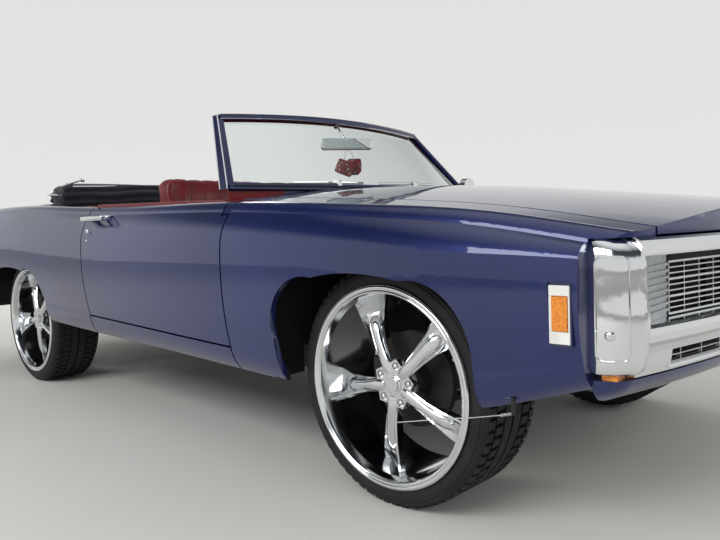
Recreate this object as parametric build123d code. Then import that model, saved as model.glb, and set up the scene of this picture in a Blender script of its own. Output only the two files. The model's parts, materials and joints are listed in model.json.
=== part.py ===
from build123d import *
import math
import os

# Two-door convertible on large twisted-spoke wheels, soft top folded.
# Millimetres, +X forward, +Y left, +Z up, origin on the ground under the middle of the car.

# driving sizes
LENGTH = 5484.0
FRONT_OVERHANG = 920.0
WHEELBASE = 3023.0
AXLE_F = LENGTH / 2 - FRONT_OVERHANG
AXLE_R = AXLE_F - WHEELBASE
SKIN = 22.0
GAP = 8.0
SEAT = 0.3
SHEET = 12.0

# wheels and tyres
WHEEL_R = 386.0
LIP_Y_F = 883.0
LIP_Y_R = 848.0
RIM_W = 278.0
RIM_LIP_R = 324.0
LIP_IN_R = 300.0
BARREL_R = 291.0
BEAD_R = 304.5
WELL_R = 299.0
FLANGE = 10.0
TREAD_IN = 30.0
WALL_R = 345.0
HUB_R = 34.0
HUB_FIT = 0.05
PAD_D = 100.0
SPINDLE_D = 62.0
DISC_R = 160.0
DRUM_R = 140.0

# steering
KING_Y = 660.0
KING_R = 24.0
BALL_LOW_Z = 300.0
BALL_HIGH_Z = 500.0

# panel seams along the car and across it
DOOR_X0 = -130.0
DOOR_X1 = 1137.0
DOOR_IN_Y = 838.0
DOOR_Z0_F = 462.0
DOOR_Z0_R = 497.0
BELT_Z_F = 1036.0
BELT_Z_R = 1056.0
HOOD_Y = 790.0
HOOD_X0 = 1180.0
FENDER_X1 = 2525.0
NOSE_X = 2760.0
TAIL_X = -2640.0
LID_Y = 720.0
LID_X0 = -2560.0
LID_X1 = -1330.0
CABIN_X0 = -760.0
CABIN_Y = 838.0
DECK_X = -960.0

# door hinges: pin line, pin, knuckles
HINGE_X = DOOR_X1 - 38.0
HINGE_Y = 985.0
HINGE_PIN_R = 6.0
HINGE_FIT = 0.06
HINGE_ROWS = [(600.0, 660.0), (785.0, 845.0)]
HINGE_LEAF = 12.0
DOOR_EDGE_Y = 955.0

# nose: the bumper's plan arc and the bonnet's front edge
BAR_X = LENGTH / 2
BAR_R = 3524.0
BAR_CX = BAR_X - BAR_R
HOOD_EDGE_Z = 850.0
HOOD_LAP = 19.0
BUMPER_TOP = 846.0
BUMPER_LOW = 510.0
POD_TOP = BUMPER_TOP
POD_LOW = 526.0
POD_IN_Y = 858.0
POD_OUT_Y = 930.0
OPEN_TOP = 802.0
OPEN_LOW = 636.0
SLOT_TOP = 568.0
SLOT_LOW = 532.0
SLOT_Y = 735.0

# grille lattice
GRILLE_Y = 340.0
COVER_Y = 650.0
RIB_Y = 852.0
GRILLE_X = 2660.0
COVER_X = 2608.0
RIB_X = 2600.0
LATTICE_D = 16.0
LATTICE_PITCH = 14.8
LATTICE_ROWS = 10
POST_PITCH = 97.0
BAR_THICK = 6.0
BAR_THIN = 3.0
LATTICE_Z0 = 642.0
LATTICE_Z1 = LATTICE_Z0 + (LATTICE_ROWS - 1) * LATTICE_PITCH
HANGER_TOP = 812.0
RIBS = 8
RIB_Z0 = 655.0
RIB_PITCH = 16.5

# body sections: x, crown z, shoulder y and z, crease y and z, lower y and z, sill y and z
SECTIONS = [
    (NOSE_X, 912, 900, 845, 955, 775, 945, 560, 895, 505),
    (2545.0, 946, 924, 872, 974, 801, 955, 560, 905, 492),
    (2228.0, 984, 945, 925, 1004, 818, 982, 500, 945, 400),
    (1822.0, 1030, 955, 962, 1009, 833, 986, 490, 945, 362),
    (DOOR_X1, 1070, 945, 1005, 999, 853, 976, 470, 925, 370),
    (400.0, 1085, 922, 1025, 978, 862, 955, 485, 910, 390),
    (DOOR_X0, 1100, 908, 1045, 965, 868, 940, 505, 903, 402),
    (AXLE_R, 1150, 912, 1098, 972, 880, 925, 545, 893, 440),
    (-2000.0, 1150, 895, 1085, 955, 884, 915, 565, 875, 470),
    (TAIL_X, 1095, 850, 1040, 915, 884, 890, 585, 850, 520),
]
ROUND_Y = 60.0
ROUND_Z = 38.0
SIDE_SAGS = (14.0, 10.0, 14.0, 10.0)

# wheel openings: axle, half width, top, corner height
ARCH_F = (AXLE_F, 410.0, 757.0, 520.0)
ARCH_R = (AXLE_R, 478.0, 728.0, 540.0)
WELL_F = (AXLE_F - 470.0, AXLE_F + 470.0)
WELL_R_HALF = 500.0
APRON_Y = 430.0
GUTTER_Z = 848.0

# spoke blade: radius, half width, depth of its face, twist in degrees, thickness
BLADE = [
    (66.0, 22.0, 56.0, 0.0, 30.0),
    (130.0, 25.0, 60.0, 5.0, 26.0),
    (190.0, 33.0, 68.0, 11.0, 22.0),
    (245.0, 48.0, 80.0, 18.0, 18.0),
    (292.5, 58.0, 94.0, 24.0, 14.0),
]
# raised finger on the blade: radius, half width, height above the blade's face
FINGER = [
    (40.0, 17.0, 12.0),
    (110.0, 18.0, 16.0),
    (180.0, 19.0, 15.0),
    (222.0, 17.0, 10.0),
    (236.0, 9.0, 2.0),
]
SPOKES = 5
SPOKE_A0 = 44.0
LUG_A0 = 8.0
LUG_R = 62.0
LUG_POCKET_R = 13.0
LUG_FACE_D = 62.0
HUB_FACE_D = 48.0
HUB_PAD_R = 84.0
CAP_R = 23.0
CAP_D = 40.0
STEER_R = 195.0
GRIP_R = 12.0


def bow(p, q, sag):
    # the middle point of an arc from p to q that bulges sag to the left of its direction
    dy, dz = q[0] - p[0], q[1] - p[1]
    d = math.hypot(dy, dz)
    return ((p[0] + q[0]) / 2 - dz / d * sag, (p[1] + q[1]) / 2 + dy / d * sag)


def section(row, inset=0.0):
    # one closed body section: a crowned top, four bowed sides each way and a flat bottom
    x, zc, y2, z2, y3, z3, y4, z4, y5, z5 = row
    t = inset
    pts = [(y2 - ROUND_Y - t * 0.4, z2 - t), (y2 - t, z2 - ROUND_Z - t * 0.4), (y3 - t, z3), (y4 - t, z4),
           (y5 - t, z5 + t)]
    at = lambda p, s: Vector(x, s * p[0], p[1])
    edges = [Edge.make_three_point_arc(at(pts[0], -1), Vector(x, 0, zc - t), at(pts[0], 1))]
    for s in (1, -1):
        for p, q, sag in zip(pts[:-1], pts[1:], SIDE_SAGS):
            edges.append(Edge.make_three_point_arc(at(p, s), at(bow(p, q, sag), s), at(q, s)))
    edges.append(Edge.make_line(at(pts[-1], 1), at(pts[-1], -1)))
    return Wire(edges)


def box(x0, x1, y0, y1, z0, z1):
    return Pos((x0 + x1) / 2, (y0 + y1) / 2, (z0 + z1) / 2) * Box(x1 - x0, y1 - y0, z1 - z0)


def sided(x0, x1, ya, yb, z0, z1, side):
    # a box between two distances from the middle line, on the right (-1) or the left (+1)
    return box(x0, x1, min(side * ya, side * yb), max(side * ya, side * yb), z0, z1)


def side_prism(pts, y0, y1):
    # a polygon in the XZ plane, drawn out across the car from y0 to y1
    face = Plane.XZ * Polygon(*pts, align=None)
    return Pos(0, y0, 0) * extrude(face, amount=y1 - y0, dir=(0, 1, 0))


def side_form(start, steps, y0, y1):
    # a closed side profile of lines (x, z) and arcs (mid x, mid z, x, z), drawn out across the car
    edges = []
    here = start
    for step in steps:
        p = Vector(here[0], 0, here[1])
        q = Vector(step[-2], 0, step[-1])
        if len(step) == 2:
            edges.append(Edge.make_line(p, q))
        else:
            edges.append(Edge.make_three_point_arc(p, Vector(step[0], 0, step[1]), q))
        here = step[-2:]
    if here != start:
        edges.append(Edge.make_line(Vector(here[0], 0, here[1]), Vector(start[0], 0, start[1])))
    return Pos(0, y0, 0) * extrude(Face(Wire(edges)), amount=y1 - y0, dir=(0, 1, 0))


def cyl_y(x, z, r, y0, y1):
    return Pos(x, (y0 + y1) / 2, z) * Rot(90, 0, 0) * Cylinder(r, abs(y1 - y0))


def cyl_x(y, z, r, x0, x1):
    return Pos((x0 + x1) / 2, y, z) * Rot(0, 90, 0) * Cylinder(r, x1 - x0)


def cyl_z(x, y, r, z0, z1):
    return Pos(x, y, (z0 + z1) / 2) * Cylinder(r, z1 - z0)


def rod(p, q, r):
    p, q = Vector(*p), Vector(*q)
    return extrude(Plane(origin=p, z_dir=q - p) * Circle(r), amount=(q - p).length)


def fuse(shapes):
    out = None
    for s in shapes:
        out = s if out is None else out + s
    return out


def arch(axle, half, top, z_corner, y0, y1):
    # a wheel opening: a crowned top, two large corners and straight legs
    shoulder_z = top - 18
    corner_z = z_corner + (shoulder_z - z_corner) * 0.69
    pts = [(-half, 100.0), (-half, z_corner), (-half * 0.9, corner_z), (-half * 0.45, shoulder_z), (0, top),
           (half * 0.45, shoulder_z), (half * 0.9, corner_z), (half, z_corner), (half, 100.0)]
    v = [Vector(axle + p[0], 0, p[1]) for p in pts]
    w = Wire([Edge.make_line(v[0], v[1]), Edge.make_three_point_arc(v[1], v[2], v[3]),
              Edge.make_three_point_arc(v[3], v[4], v[5]), Edge.make_three_point_arc(v[5], v[6], v[7]),
              Edge.make_line(v[7], v[8]), Edge.make_line(v[8], v[0])])
    return Pos(0, y0, 0) * extrude(Face(w), amount=y1 - y0, dir=(0, 1, 0))


def save(shape, name):
    solids = shape.solids()
    out = solids[0] if len(solids) == 1 else Compound(children=list(solids))
    out.label = name
    export_step(out, "parts/" + name + ".step")
    bb = out.bounding_box()
    print("%-22s %d solids %.4f m3  x %.0f..%.0f y %.0f..%.0f z %.0f..%.0f" % (
        name, len(solids), sum(s.volume for s in solids) / 1e9, bb.min.X, bb.max.X, bb.min.Y, bb.max.Y,
        bb.min.Z, bb.max.Z))


def both(shape, name):
    # the right-hand piece is made, the left-hand one is its mirror image
    save(shape, name + "_right")
    save(mirror(shape, about=Plane.XZ), name + "_left")


def ring(profile, half_y, r_ref):
    # a closed (radius, z) profile turned about the bumper's plan centre, as wide as half_y each way
    half = math.degrees(math.asin(half_y / r_ref))
    face = Plane.XZ * Polygon(*profile, align=None)
    turned = revolve(face, axis=Axis.Z, revolution_arc=2 * half)
    return Pos(BAR_CX, 0, 0) * Rot(0, 0, -half) * turned


def nose_outline(z, inset):
    # plan of the nose at height z: the bumper's arc, two swept corners and a straight back
    half, corner = 870.0, 66.0
    r = BAR_R - inset
    x_e = BAR_CX + math.sqrt(r * r - half * half)
    hb = half + corner - inset * 0.7
    xb = x_e - corner - 24.0
    v = lambda x, y: Vector(x, y, z)
    m = ((x_e + xb) / 2 + 16.0, (half + hb) / 2 + 14.0)
    return Wire([
        Edge.make_three_point_arc(v(x_e, -half), v(BAR_CX + r, 0), v(x_e, half)),
        Edge.make_three_point_arc(v(x_e, half), v(m[0], m[1]), v(xb, hb)),
        Edge.make_line(v(xb, hb), v(2400, hb)), Edge.make_line(v(2400, hb), v(2400, -hb)),
        Edge.make_line(v(2400, -hb), v(xb, -hb)),
        Edge.make_three_point_arc(v(xb, -hb), v(m[0], -m[1]), v(x_e, -half))])


def pod_outline(z, inset, side):
    # plan of one upright bumper end at height z, right or left
    b = (2548.0 - inset * 0.45, POD_OUT_Y + 6 - inset * 0.5)
    c = (2630.0 - inset, 896.0 - inset * 0.3)
    d = (2640.0 - inset, 876.0)
    back = FENDER_X1 + SEAT
    v = lambda x, y: Vector(x, side * y, z)
    return Wire([
        Edge.make_line(v(back, POD_IN_Y), v(back, POD_OUT_Y - inset * 0.5)),
        Edge.make_three_point_arc(v(back, POD_OUT_Y - inset * 0.5), v((back + b[0]) / 2, b[1] - 2), v(*b)),
        Edge.make_three_point_arc(v(*b), v((b[0] + c[0]) / 2 + 6, (b[1] + c[1]) / 2 + 9), v(*c)),
        Edge.make_three_point_arc(v(*c), v(d[0] - 1, (c[1] + d[1]) / 2), v(*d)),
        Edge.make_three_point_arc(v(*d), v(d[0] - 4, POD_IN_Y + 4), v(d[0] - 18, POD_IN_Y)),
        Edge.make_line(v(d[0] - 18, POD_IN_Y), v(back, POD_IN_Y))])


os.makedirs("parts", exist_ok=True)

# outer form and the same form one skin smaller
outer = Solid.make_loft([section(r) for r in SECTIONS])
inner = Solid.make_loft([section(r, SKIN) for r in SECTIONS])
fit = Solid.make_loft([section(r, SKIN + SEAT) for r in SECTIONS])
shell = outer - inner


def gutter(x0, x1, ya, yb, side):
    # a channel flange that follows the underside of a lid, one seat clearance below it, with its outer wall
    under = Pos(0, 0, -SHEET) * fit
    flange = (fit & sided(x0, x1, ya, yb, 780, 1300, side)) - under
    wall = (outer & sided(x0, x1, yb - SHEET, yb, 780, 1300, side)) - under
    return flange + wall


# hinge pins on the pillar with two leaves each, and the barrels of the door between the leaves
def hinge_leaves(side):
    out = []
    for z0, z1 in HINGE_ROWS:
        out.append(cyl_z(HINGE_X, side * HINGE_Y, HINGE_PIN_R, z0, z1))
        for a in (z0, z1 - HINGE_LEAF):
            out.append(sided(HINGE_X - 6, HINGE_X + 6, 900, HINGE_Y, a, a + HINGE_LEAF, side))
    return fuse(out)


def hinge_pockets(side):
    out = []
    for z0, z1 in HINGE_ROWS:
        out.append(cyl_z(HINGE_X, side * HINGE_Y, 13, z0 - 5, z1 + 5)
                   & sided(HINGE_X - 40, HINGE_X + 40, 900, HINGE_Y + 8, 300, 1000, side))
        out.append(sided(HINGE_X - 12, DOOR_X1 + 10, 900, HINGE_Y + 8, z0 - 5, z1 + 5, side))
    return fuse(out)


def hinge_barrels(side):
    out = []
    for z0, z1 in HINGE_ROWS:
        a, b = z0 + HINGE_LEAF + SEAT, z1 - HINGE_LEAF - SEAT
        barrel = cyl_z(HINGE_X, side * HINGE_Y, 10.5, a, b)
        barrel += sided(HINGE_X - 20, HINGE_X, HINGE_Y - 10, HINGE_Y + 4, a, b, side)
        out.append(barrel - cyl_z(HINGE_X, side * HINGE_Y, HINGE_PIN_R + HINGE_FIT, a - 1, b + 1))
    return fuse(out)


MARK_X0, MARK_X1, MARK_Z0, MARK_Z1 = 2455.0, 2512.0, 596.0, 748.0
MARK_Y = 985.0
MARK_DEPTH = 40.0


def front_fender(side):
    # outer skin of the wing with its apron, gutter, end flange and the two ends of the wheel well
    x_skin = DOOR_X1 + GAP / 2
    y_lip = HOOD_Y + GAP / 2
    x0, x1 = WELL_F[0] - SHEET, WELL_F[1]
    lap = Solid.make_loft([nose_outline(BUMPER_TOP + SEAT, HOOD_LAP), nose_outline(1000, HOOD_LAP)], True)
    reach = sided(x_skin, FENDER_X1, y_lip, 1100, 300, 1300, side)
    reach += lap & sided(FENDER_X1 - 1, NOSE_X, y_lip, 1100, BUMPER_TOP - 4, 1000, side)
    body = shell & reach
    body += outer & sided(FENDER_X1 - SHEET, FENDER_X1, y_lip, 1100, 440, 900, side)
    body += outer & sided(x0, 2440, y_lip, y_lip + SHEET, GUTTER_Z, 1100, side)
    body += gutter(HOOD_X0 + 60, 2440, HOOD_Y - 30, y_lip + SHEET, side)
    body += sided(x0, 2440, APRON_Y, y_lip + SHEET, GUTTER_Z, GUTTER_Z + SHEET, side)
    body += sided(x0, 2440, APRON_Y, APRON_Y + SHEET, 475.3, GUTTER_Z + SHEET, side)
    body += outer & sided(x0, x0 + SHEET, APRON_Y, 1100, 380, GUTTER_Z + SHEET, side)
    body += outer & sided(x1, x1 + SHEET, APRON_Y, 1100, 410, GUTTER_Z + SHEET, side)
    body -= arch(*ARCH_F, *sorted((side * 560.0, side * 1100.0))) & sided(x0 + SHEET, x1, 560, 1100, 0, 1200, side)
    # only a narrow lip of the turned-in lower edge is left inside the well, clear of the steered tyre
    body -= sided(x0 + SHEET, x1, 560, 918, 300, 500, side)
    # the door's inner edge swings inside the thin trailing edge of the wing
    body -= sided(DOOR_X1 - 10, x0, 700, 975, 300, 1000, side) & inner
    # the windscreen pillar's foot and the cowl stand inboard of the wing
    body -= sided(DOOR_X1 - 10, HOOD_X0 + 40, 700, 905, 930, 1300, side)
    # holes round the suspension arms and the exhaust's front pipe
    body -= sided(AXLE_F - 175, AXLE_F + 175, 400, 450, 300, 562, side)
    body -= sided(x0 - 20, x0 + 40, 400, 800, 300, 470, side)
    # pocket of the side marker
    body -= sided(MARK_X0 - SEAT, MARK_X1 + SEAT, MARK_Y - MARK_DEPTH - SEAT, 1100, MARK_Z0 - SEAT, MARK_Z1 + SEAT, side)
    return body


def front_lamp(side):
    # side marker: a bezel with a foot, and the small lamp under the bumper's end
    bezel = sided(MARK_X0, MARK_X1, MARK_Y - MARK_DEPTH, MARK_Y, MARK_Z0, MARK_Z1, side)
    lens = sided(MARK_X0 + 9, MARK_X1 - 9, MARK_Y - 4, MARK_Y + 6, MARK_Z0 + 38, MARK_Z1 - 34, side)
    low = sided(2545, 2583, 862, 905, BUMPER_LOW, POD_LOW - SEAT, side)
    return [bezel + lens, low]


def door(side):
    d = outer & sided(DOOR_X0 + GAP / 2, DOOR_X1 - GAP / 2, DOOR_IN_Y + 6, 1100, 300, 1300, side)
    pts = [(DOOR_X0, DOOR_Z0_R + GAP / 2), (DOOR_X1, DOOR_Z0_F + GAP / 2), (DOOR_X1, BELT_Z_F), (DOOR_X0, BELT_Z_R)]
    d &= side_prism(pts, *sorted((side * 700.0, side * 1100.0)))
    # forward of the hinge only the outer edge is left, so that it can swing in behind the wing
    d -= sided(HINGE_X - 12, DOOR_X1 + 10, 700, DOOR_EDGE_Y, 300, 1300, side)
    # window slot along the top
    d -= sided(DOOR_X0 + 60, DOOR_X1 - 130, 882, 892, 900, 1300, side)
    d -= hinge_pockets(side)
    d += hinge_barrels(side)
    # armrest and pull on the inner face
    rest = side_form((120, 700), [(760, 700), (790, 715, 780, 745), (150, 760), (110, 745), (105, 715, 120, 700)],
                     *sorted((side * (DOOR_IN_Y - 52), side * (DOOR_IN_Y + 10))))
    d += rest
    # latch slot in the rear edge, open to the inside
    d -= sided(DOOR_X0, DOOR_X0 + GAP / 2 + 20, 700, 892, 792 - SEAT, 808 + SEAT, side)
    # handle with its button
    hx0, hx1, hz, hy = -35.0, 100.0, 982.0, 960.0
    d += sided(hx0, hx1, hy + 12, hy + 24, hz - 8, hz + 8, side)
    d += sided(hx0, hx0 + 14, hy - 60, hy + 24, hz - 8, hz + 8, side)
    d += sided(hx1 - 14, hx1, hy - 60, hy + 24, hz - 8, hz + 8, side)
    return d


# floor, tunnel, bulkheads, sills, hinge pillars
FLOOR_Z = 405.0
PAN_Z = 520.0
BOOT_Z = 640.0
PAN_T = 14.0
HEEL_X = -500.0
BULK_X = -774.0
FIRE_X = 1010.0
TUN_Y, TUN_Z = 130.0, 555.0
FLOOR_Y = 796.0
PILLAR_X0 = HINGE_X - 4.0
WELL_WALL_X = AXLE_R + WELL_R_HALF


def sill(side):
    s = outer & sided(DOOR_X0 + GAP / 2, DOOR_X1 - GAP / 2, DOOR_IN_Y - 30, 1100, 300, 1300, side)
    pts = [(DOOR_X0, DOOR_Z0_R - GAP / 2), (DOOR_X1, DOOR_Z0_F - GAP / 2), (DOOR_X1, 200), (DOOR_X0, 200)]
    return s & side_prism(pts, *sorted((side * 700.0, side * 1100.0)))


tub = box(DOOR_X0 + 10, FIRE_X, -DOOR_IN_Y - 40, DOOR_IN_Y + 40, FLOOR_Z, FLOOR_Z + PAN_T)
tub += box(HEEL_X, FIRE_X, -FLOOR_Y, FLOOR_Y, FLOOR_Z, FLOOR_Z + PAN_T)
for s in (-1, 1):
    tub += sill(s)
    pillar_post = sided(PILLAR_X0, DOOR_X1 - GAP / 2, 800, 930, FLOOR_Z, 985, s)
    tub += (pillar_post + hinge_leaves(s)) & outer
    tub += sided(FIRE_X, PILLAR_X0 + 1, 800 - PAN_T, 800, FLOOR_Z, 985, s) & fit
tub += box(HEEL_X - PAN_T, HEEL_X, -FLOOR_Y, FLOOR_Y, FLOOR_Z, PAN_Z + PAN_T)
pan = box(BULK_X, HEEL_X, -FLOOR_Y, FLOOR_Y, PAN_Z, PAN_Z + PAN_T)
for s in (-1, 1):
    # slot for the front wall of the rear wheel well
    pan -= sided(WELL_WALL_X - 1, WELL_WALL_X + SHEET + 1, 540, 1000, PAN_Z - 1, PAN_Z + PAN_T + 1, s)
tub += pan
tub += box(BULK_X, BULK_X + PAN_T, -540, 540, PAN_Z, 980)
tub += box(BULK_X, BULK_X + PAN_T, -CABIN_Y + SHEET + SEAT, CABIN_Y - SHEET - SEAT, 866, 980)
tub += box(-2600, BULK_X, -540, 540, BOOT_Z, BOOT_Z + PAN_T)
tub += box(FIRE_X, FIRE_X + PAN_T, -800, 800, FLOOR_Z, 1000) & fit
tub += box(HEEL_X - PAN_T, FIRE_X, -TUN_Y, TUN_Y, FLOOR_Z, TUN_Z)
tub -= box(-2700, FIRE_X + 30, -TUN_Y + PAN_T, TUN_Y - PAN_T, FLOOR_Z - 10, PAN_Z)
tub -= box(HEEL_X, FIRE_X + 30, -TUN_Y + PAN_T, TUN_Y - PAN_T, FLOOR_Z - 10, TUN_Z - PAN_T)
save(tub, "floor_tub")

both(front_fender(-1), "front_fender")
save(Compound(children=[p for s in (-1, 1) for p in front_lamp(s)]), "front_lamps")
door_r = door(-1)
both(door_r, "door")


def rail(points, w, h):
    # a box-section rail through a list of middle points, each joint mitred by the next section
    out = []
    for p, q in zip(points[:-1], points[1:]):
        ends = [(Plane(origin=o, z_dir=(1, 0, 0), x_dir=(0, 1, 0)) * Rectangle(w, h)).wire() for o in (p, q)]
        out.append(Solid.make_loft(ends, True))
    return fuse(out)


# ladder frame: side rails with their rise over the rear axle, cross members and body mounts
RAIL_W, RAIL_H = 70.0, 90.0
RAIL_Y, RAIL_Z = 560.0, 345.0
NOSE_RAIL_Y, NOSE_RAIL_Z = 370.0, 430.0
TAIL_RAIL_Y, TAIL_RAIL_Z = 450.0, 500.0
AXLE_RAIL_Z = 560.0
BOX_Z = 430.0
BOX_NOTCH_R = 75.0
BOX_MOUNT_X = 800.0
SHAFT_NOTCH_Z = 400.0
# cross members: x, reach each way, middle height
CROSS = [(2440.0, NOSE_RAIL_Y, NOSE_RAIL_Z), (BOX_MOUNT_X, RAIL_Y, RAIL_Z), (-400.0, RAIL_Y, RAIL_Z),
         (-1560.0, TAIL_RAIL_Y, 530.0), (-2440.0, TAIL_RAIL_Y, TAIL_RAIL_Z)]
CROSS_HALF = 35.0
CROSS_H = 60.0
MOUNT_X = (900.0, 250.0, -300.0)
TAIL_MOUNT_X = -2200.0
MOUNT_R = 32.0
frame = []
for s in (-1, 1):
    frame.append(rail([(2500, s * NOSE_RAIL_Y, NOSE_RAIL_Z), (1350, s * NOSE_RAIL_Y, NOSE_RAIL_Z),
                       (1050, s * RAIL_Y, RAIL_Z), (-480, s * RAIL_Y, RAIL_Z), (-760, s * TAIL_RAIL_Y, 450),
                       (-1000, s * TAIL_RAIL_Y, AXLE_RAIL_Z), (-1420, s * TAIL_RAIL_Y, AXLE_RAIL_Z),
                       (-1650, s * TAIL_RAIL_Y, TAIL_RAIL_Z), (-2500, s * TAIL_RAIL_Y, TAIL_RAIL_Z)], RAIL_W, RAIL_H))
    for x in MOUNT_X:
        frame.append(cyl_z(x, s * RAIL_Y, MOUNT_R, RAIL_Z + RAIL_H / 2 - 1, FLOOR_Z - SEAT))
    frame.append(cyl_z(TAIL_MOUNT_X, s * TAIL_RAIL_Y, MOUNT_R, TAIL_RAIL_Z + RAIL_H / 2 - 1, BOOT_Z - SEAT))
for x, reach, z in CROSS:
    frame.append(box(x - CROSS_HALF, x + CROSS_HALF, -reach, reach, z - CROSS_H / 2, z + CROSS_H / 2))
frame = fuse(frame)
frame -= cyl_x(0, BOX_Z, BOX_NOTCH_R, BOX_MOUNT_X - 100, BOX_MOUNT_X + 100)
frame -= cyl_x(0, SHAFT_NOTCH_Z, BOX_NOTCH_R, -500, -300)
save(frame, "frame_rails")

# quarter panels, tail panel and the deck behind the seats in one pressing
rear = shell & box(TAIL_X, DOOR_X0 - GAP / 2, -1100, 1100, 300, 1400)
rear -= box(DECK_X, DOOR_X0 + 10, -CABIN_Y, CABIN_Y, 600, 1400)
rear -= box(LID_X0 - GAP, LID_X1 + GAP, -LID_Y - GAP, LID_Y + GAP, 900, 1400)
rear -= box(TAIL_X - 10, DOOR_X0 + 10, -800, 800, 300, 700)
rear += outer & box(TAIL_X, TAIL_X + SKIN, -1000, 1000, 560, 1010)
for s in (-1, 1):
    rear += sided(CABIN_X0 - 14, DOOR_X0 - GAP / 2, CABIN_Y - SHEET, CABIN_Y, 422, 1030, s)
    rear += outer & sided(DOOR_X0 - GAP / 2 - 14, DOOR_X0 - GAP / 2, CABIN_Y - SHEET, 1100, 422, 1040, s)
    ax0, ax1 = AXLE_R - WELL_R_HALF, WELL_WALL_X
    rear += outer & sided(ax1, ax1 + SHEET, 545, 1100, 440, 860, s)
    rear += outer & sided(ax0 - SHEET, ax0, 545, 1100, 470, 860, s)
    rear += outer & sided(ax0 - SHEET, ax1 + SHEET, 545, 557, 560, 860, s)
    rear += outer & sided(ax0 - SHEET, ax1 + SHEET, 545, 1100, 848, 860, s)
    rear += gutter(LID_X0 + 20, LID_X1 - 20, LID_Y - 28, LID_Y + GAP + SHEET, s)
    # striker that the door's latch closes on
    rear += cyl_x(s * 880, 800, 8, DOOR_X0 - GAP / 2 - 1, DOOR_X0 + 14)
    rear -= arch(*ARCH_R, *sorted((s * 560.0, s * 1100.0)))
save(rear, "rear_quarters")

BRACE_T = 16.0
# bonnet and boot lid, each a plate of the same skin; the bonnet's front edge rolls down to the bumper
ROLL = [(1000.0, 700.0), (BAR_R - HOOD_LAP, 700.0), (BAR_R - HOOD_LAP, 866.0)]
ROLL_ARCS = [((3489.0, 902.0), (3446.0, 930.0)), ((3350.0, 964.0), (3200.0, 990.0))]


def roll(inset):
    # the solid inside the nose's rolled front, turned about the bumper's plan centre
    v = lambda p: Vector(p[0] - inset, 0, p[1] - inset)
    edges = [Edge.make_line(v(ROLL[0]), v(ROLL[1])), Edge.make_line(v(ROLL[1]), v(ROLL[2]))]
    here = ROLL[2]
    for mid, end in ROLL_ARCS:
        edges.append(Edge.make_three_point_arc(v(here), v(mid), v(end)))
        here = end
    edges.append(Edge.make_line(v(here), v((here[0], 1400.0))))
    edges.append(Edge.make_line(v((here[0], 1400.0)), v((1000.0, 1400.0))))
    edges.append(Edge.make_line(v((1000.0, 1400.0)), v(ROLL[0])))
    half = 22.0
    turned = revolve(Face(Wire(edges)), axis=Axis.Z, revolution_arc=2 * half)
    return Pos(BAR_CX, 0, 0) * Rot(0, 0, -half) * turned


hood_box = box(HOOD_X0, NOSE_X, -HOOD_Y + GAP / 2, HOOD_Y - GAP / 2, HOOD_EDGE_Z, 1300)
hood = (outer & roll(0.0) & hood_box) - (inner & roll(SKIN))
hood = max(hood.solids(), key=lambda h: h.volume)
# bracing under the bonnet
for y in (-420, 0, 420):
    hood += (inner & box(HOOD_X0 + 60, 2400, y - 30, y + 30, 780, 1300)) - Pos(0, 0, -BRACE_T) * inner
save(hood, "hood")
lid = shell & box(LID_X0, LID_X1, -LID_Y, LID_Y, 800, 1300)
for y in (-380, 0, 380):
    lid += (inner & box(LID_X0 + 60, LID_X1 - 60, y - 30, y + 30, 780, 1300)) - Pos(0, 0, -BRACE_T) * inner
save(lid, "trunk_lid")

# windscreen: foot arc, top arc
WS_BASE = [(947.0, 809.0, 1079.0), (1075.0, 0.0, 1072.0)]
WS_TOP = [(700.0, 668.0, 1402.0), (775.0, 0.0, 1422.0)]
WS_LOW_K, WS_HIGH_K = 0.03, 0.97
WS_BAR_W, WS_BAR_H = 38.0, 26.0
GLASS_T = 6.0


def mix(p, q, k):
    return tuple(a + (b - a) * k for a, b in zip(p, q))


def glass_wire(ends, mid, inset):
    # a thin curved strip, the outline of the pane at one height
    x, y, z = ends
    y -= inset
    a, b, m = Vector(x, -y, z), Vector(x, y, z), Vector(mid[0], 0, mid[2])
    o = Vector(mid[0] - x, 0, mid[2] - z).normalized() * GLASS_T
    return Wire([Edge.make_three_point_arc(a, m, b), Edge.make_line(b, b - o),
                 Edge.make_three_point_arc(b - o, m - o, a - o), Edge.make_line(a - o, a)])


def along_arc(ends, mid, w, h):
    # a bar of w by h swept over the arc from the right end over the middle to the left end
    a = Vector(ends[0], -ends[1], ends[2])
    b = Vector(*ends)
    path = Edge.make_three_point_arc(a, Vector(*mid), b)
    plane = Plane(origin=a, x_dir=(0, 0, 1), z_dir=path.tangent_at(0))
    return sweep(plane * Rectangle(h, w), path=path)


def pillar(side):
    p, q = WS_BASE[0], WS_TOP[0]
    a = Pos(p[0] - 12, side * p[1], p[2] - 14) * Rectangle(56, 36)
    b = Pos(q[0] - 12, side * q[1], q[2] + 8) * Rectangle(40, 30)
    return Solid.make_loft([a.wire(), b.wire()], True)


ws_frame = along_arc(*WS_TOP, WS_BAR_W, WS_BAR_H) + along_arc(*WS_BASE, WS_BAR_W, WS_BAR_H) + pillar(-1) + pillar(1)
ws_frame = Pos(-4, 0, 0) * ws_frame
ends_mids = [[mix(WS_BASE[i], WS_TOP[i], k) for i in (0, 1)] for k in (WS_LOW_K - 0.03, WS_HIGH_K + 0.03)]
glass = Pos(-10, 0, 0) * Solid.make_loft([glass_wire(e, m, 2.0) for e, m in ends_mids], True) - ws_frame
glass = max(glass.solids(), key=lambda g: g.volume)
save(ws_frame, "windshield_frame")
save(glass, "windshield_glass")

# cowl between bonnet and windscreen
cowl = shell & box(960, HOOD_X0 - GAP, -HOOD_Y + GAP, HOOD_Y - GAP, 900, 1300)
cowl += box(1040, 1054, -780, 780, 860, 1060) & outer
cowl -= box(900, 1040, -782, 782, 0, 1000)
cowl -= ws_frame
cowl -= glass
save(cowl, "cowl_panel")

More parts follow.
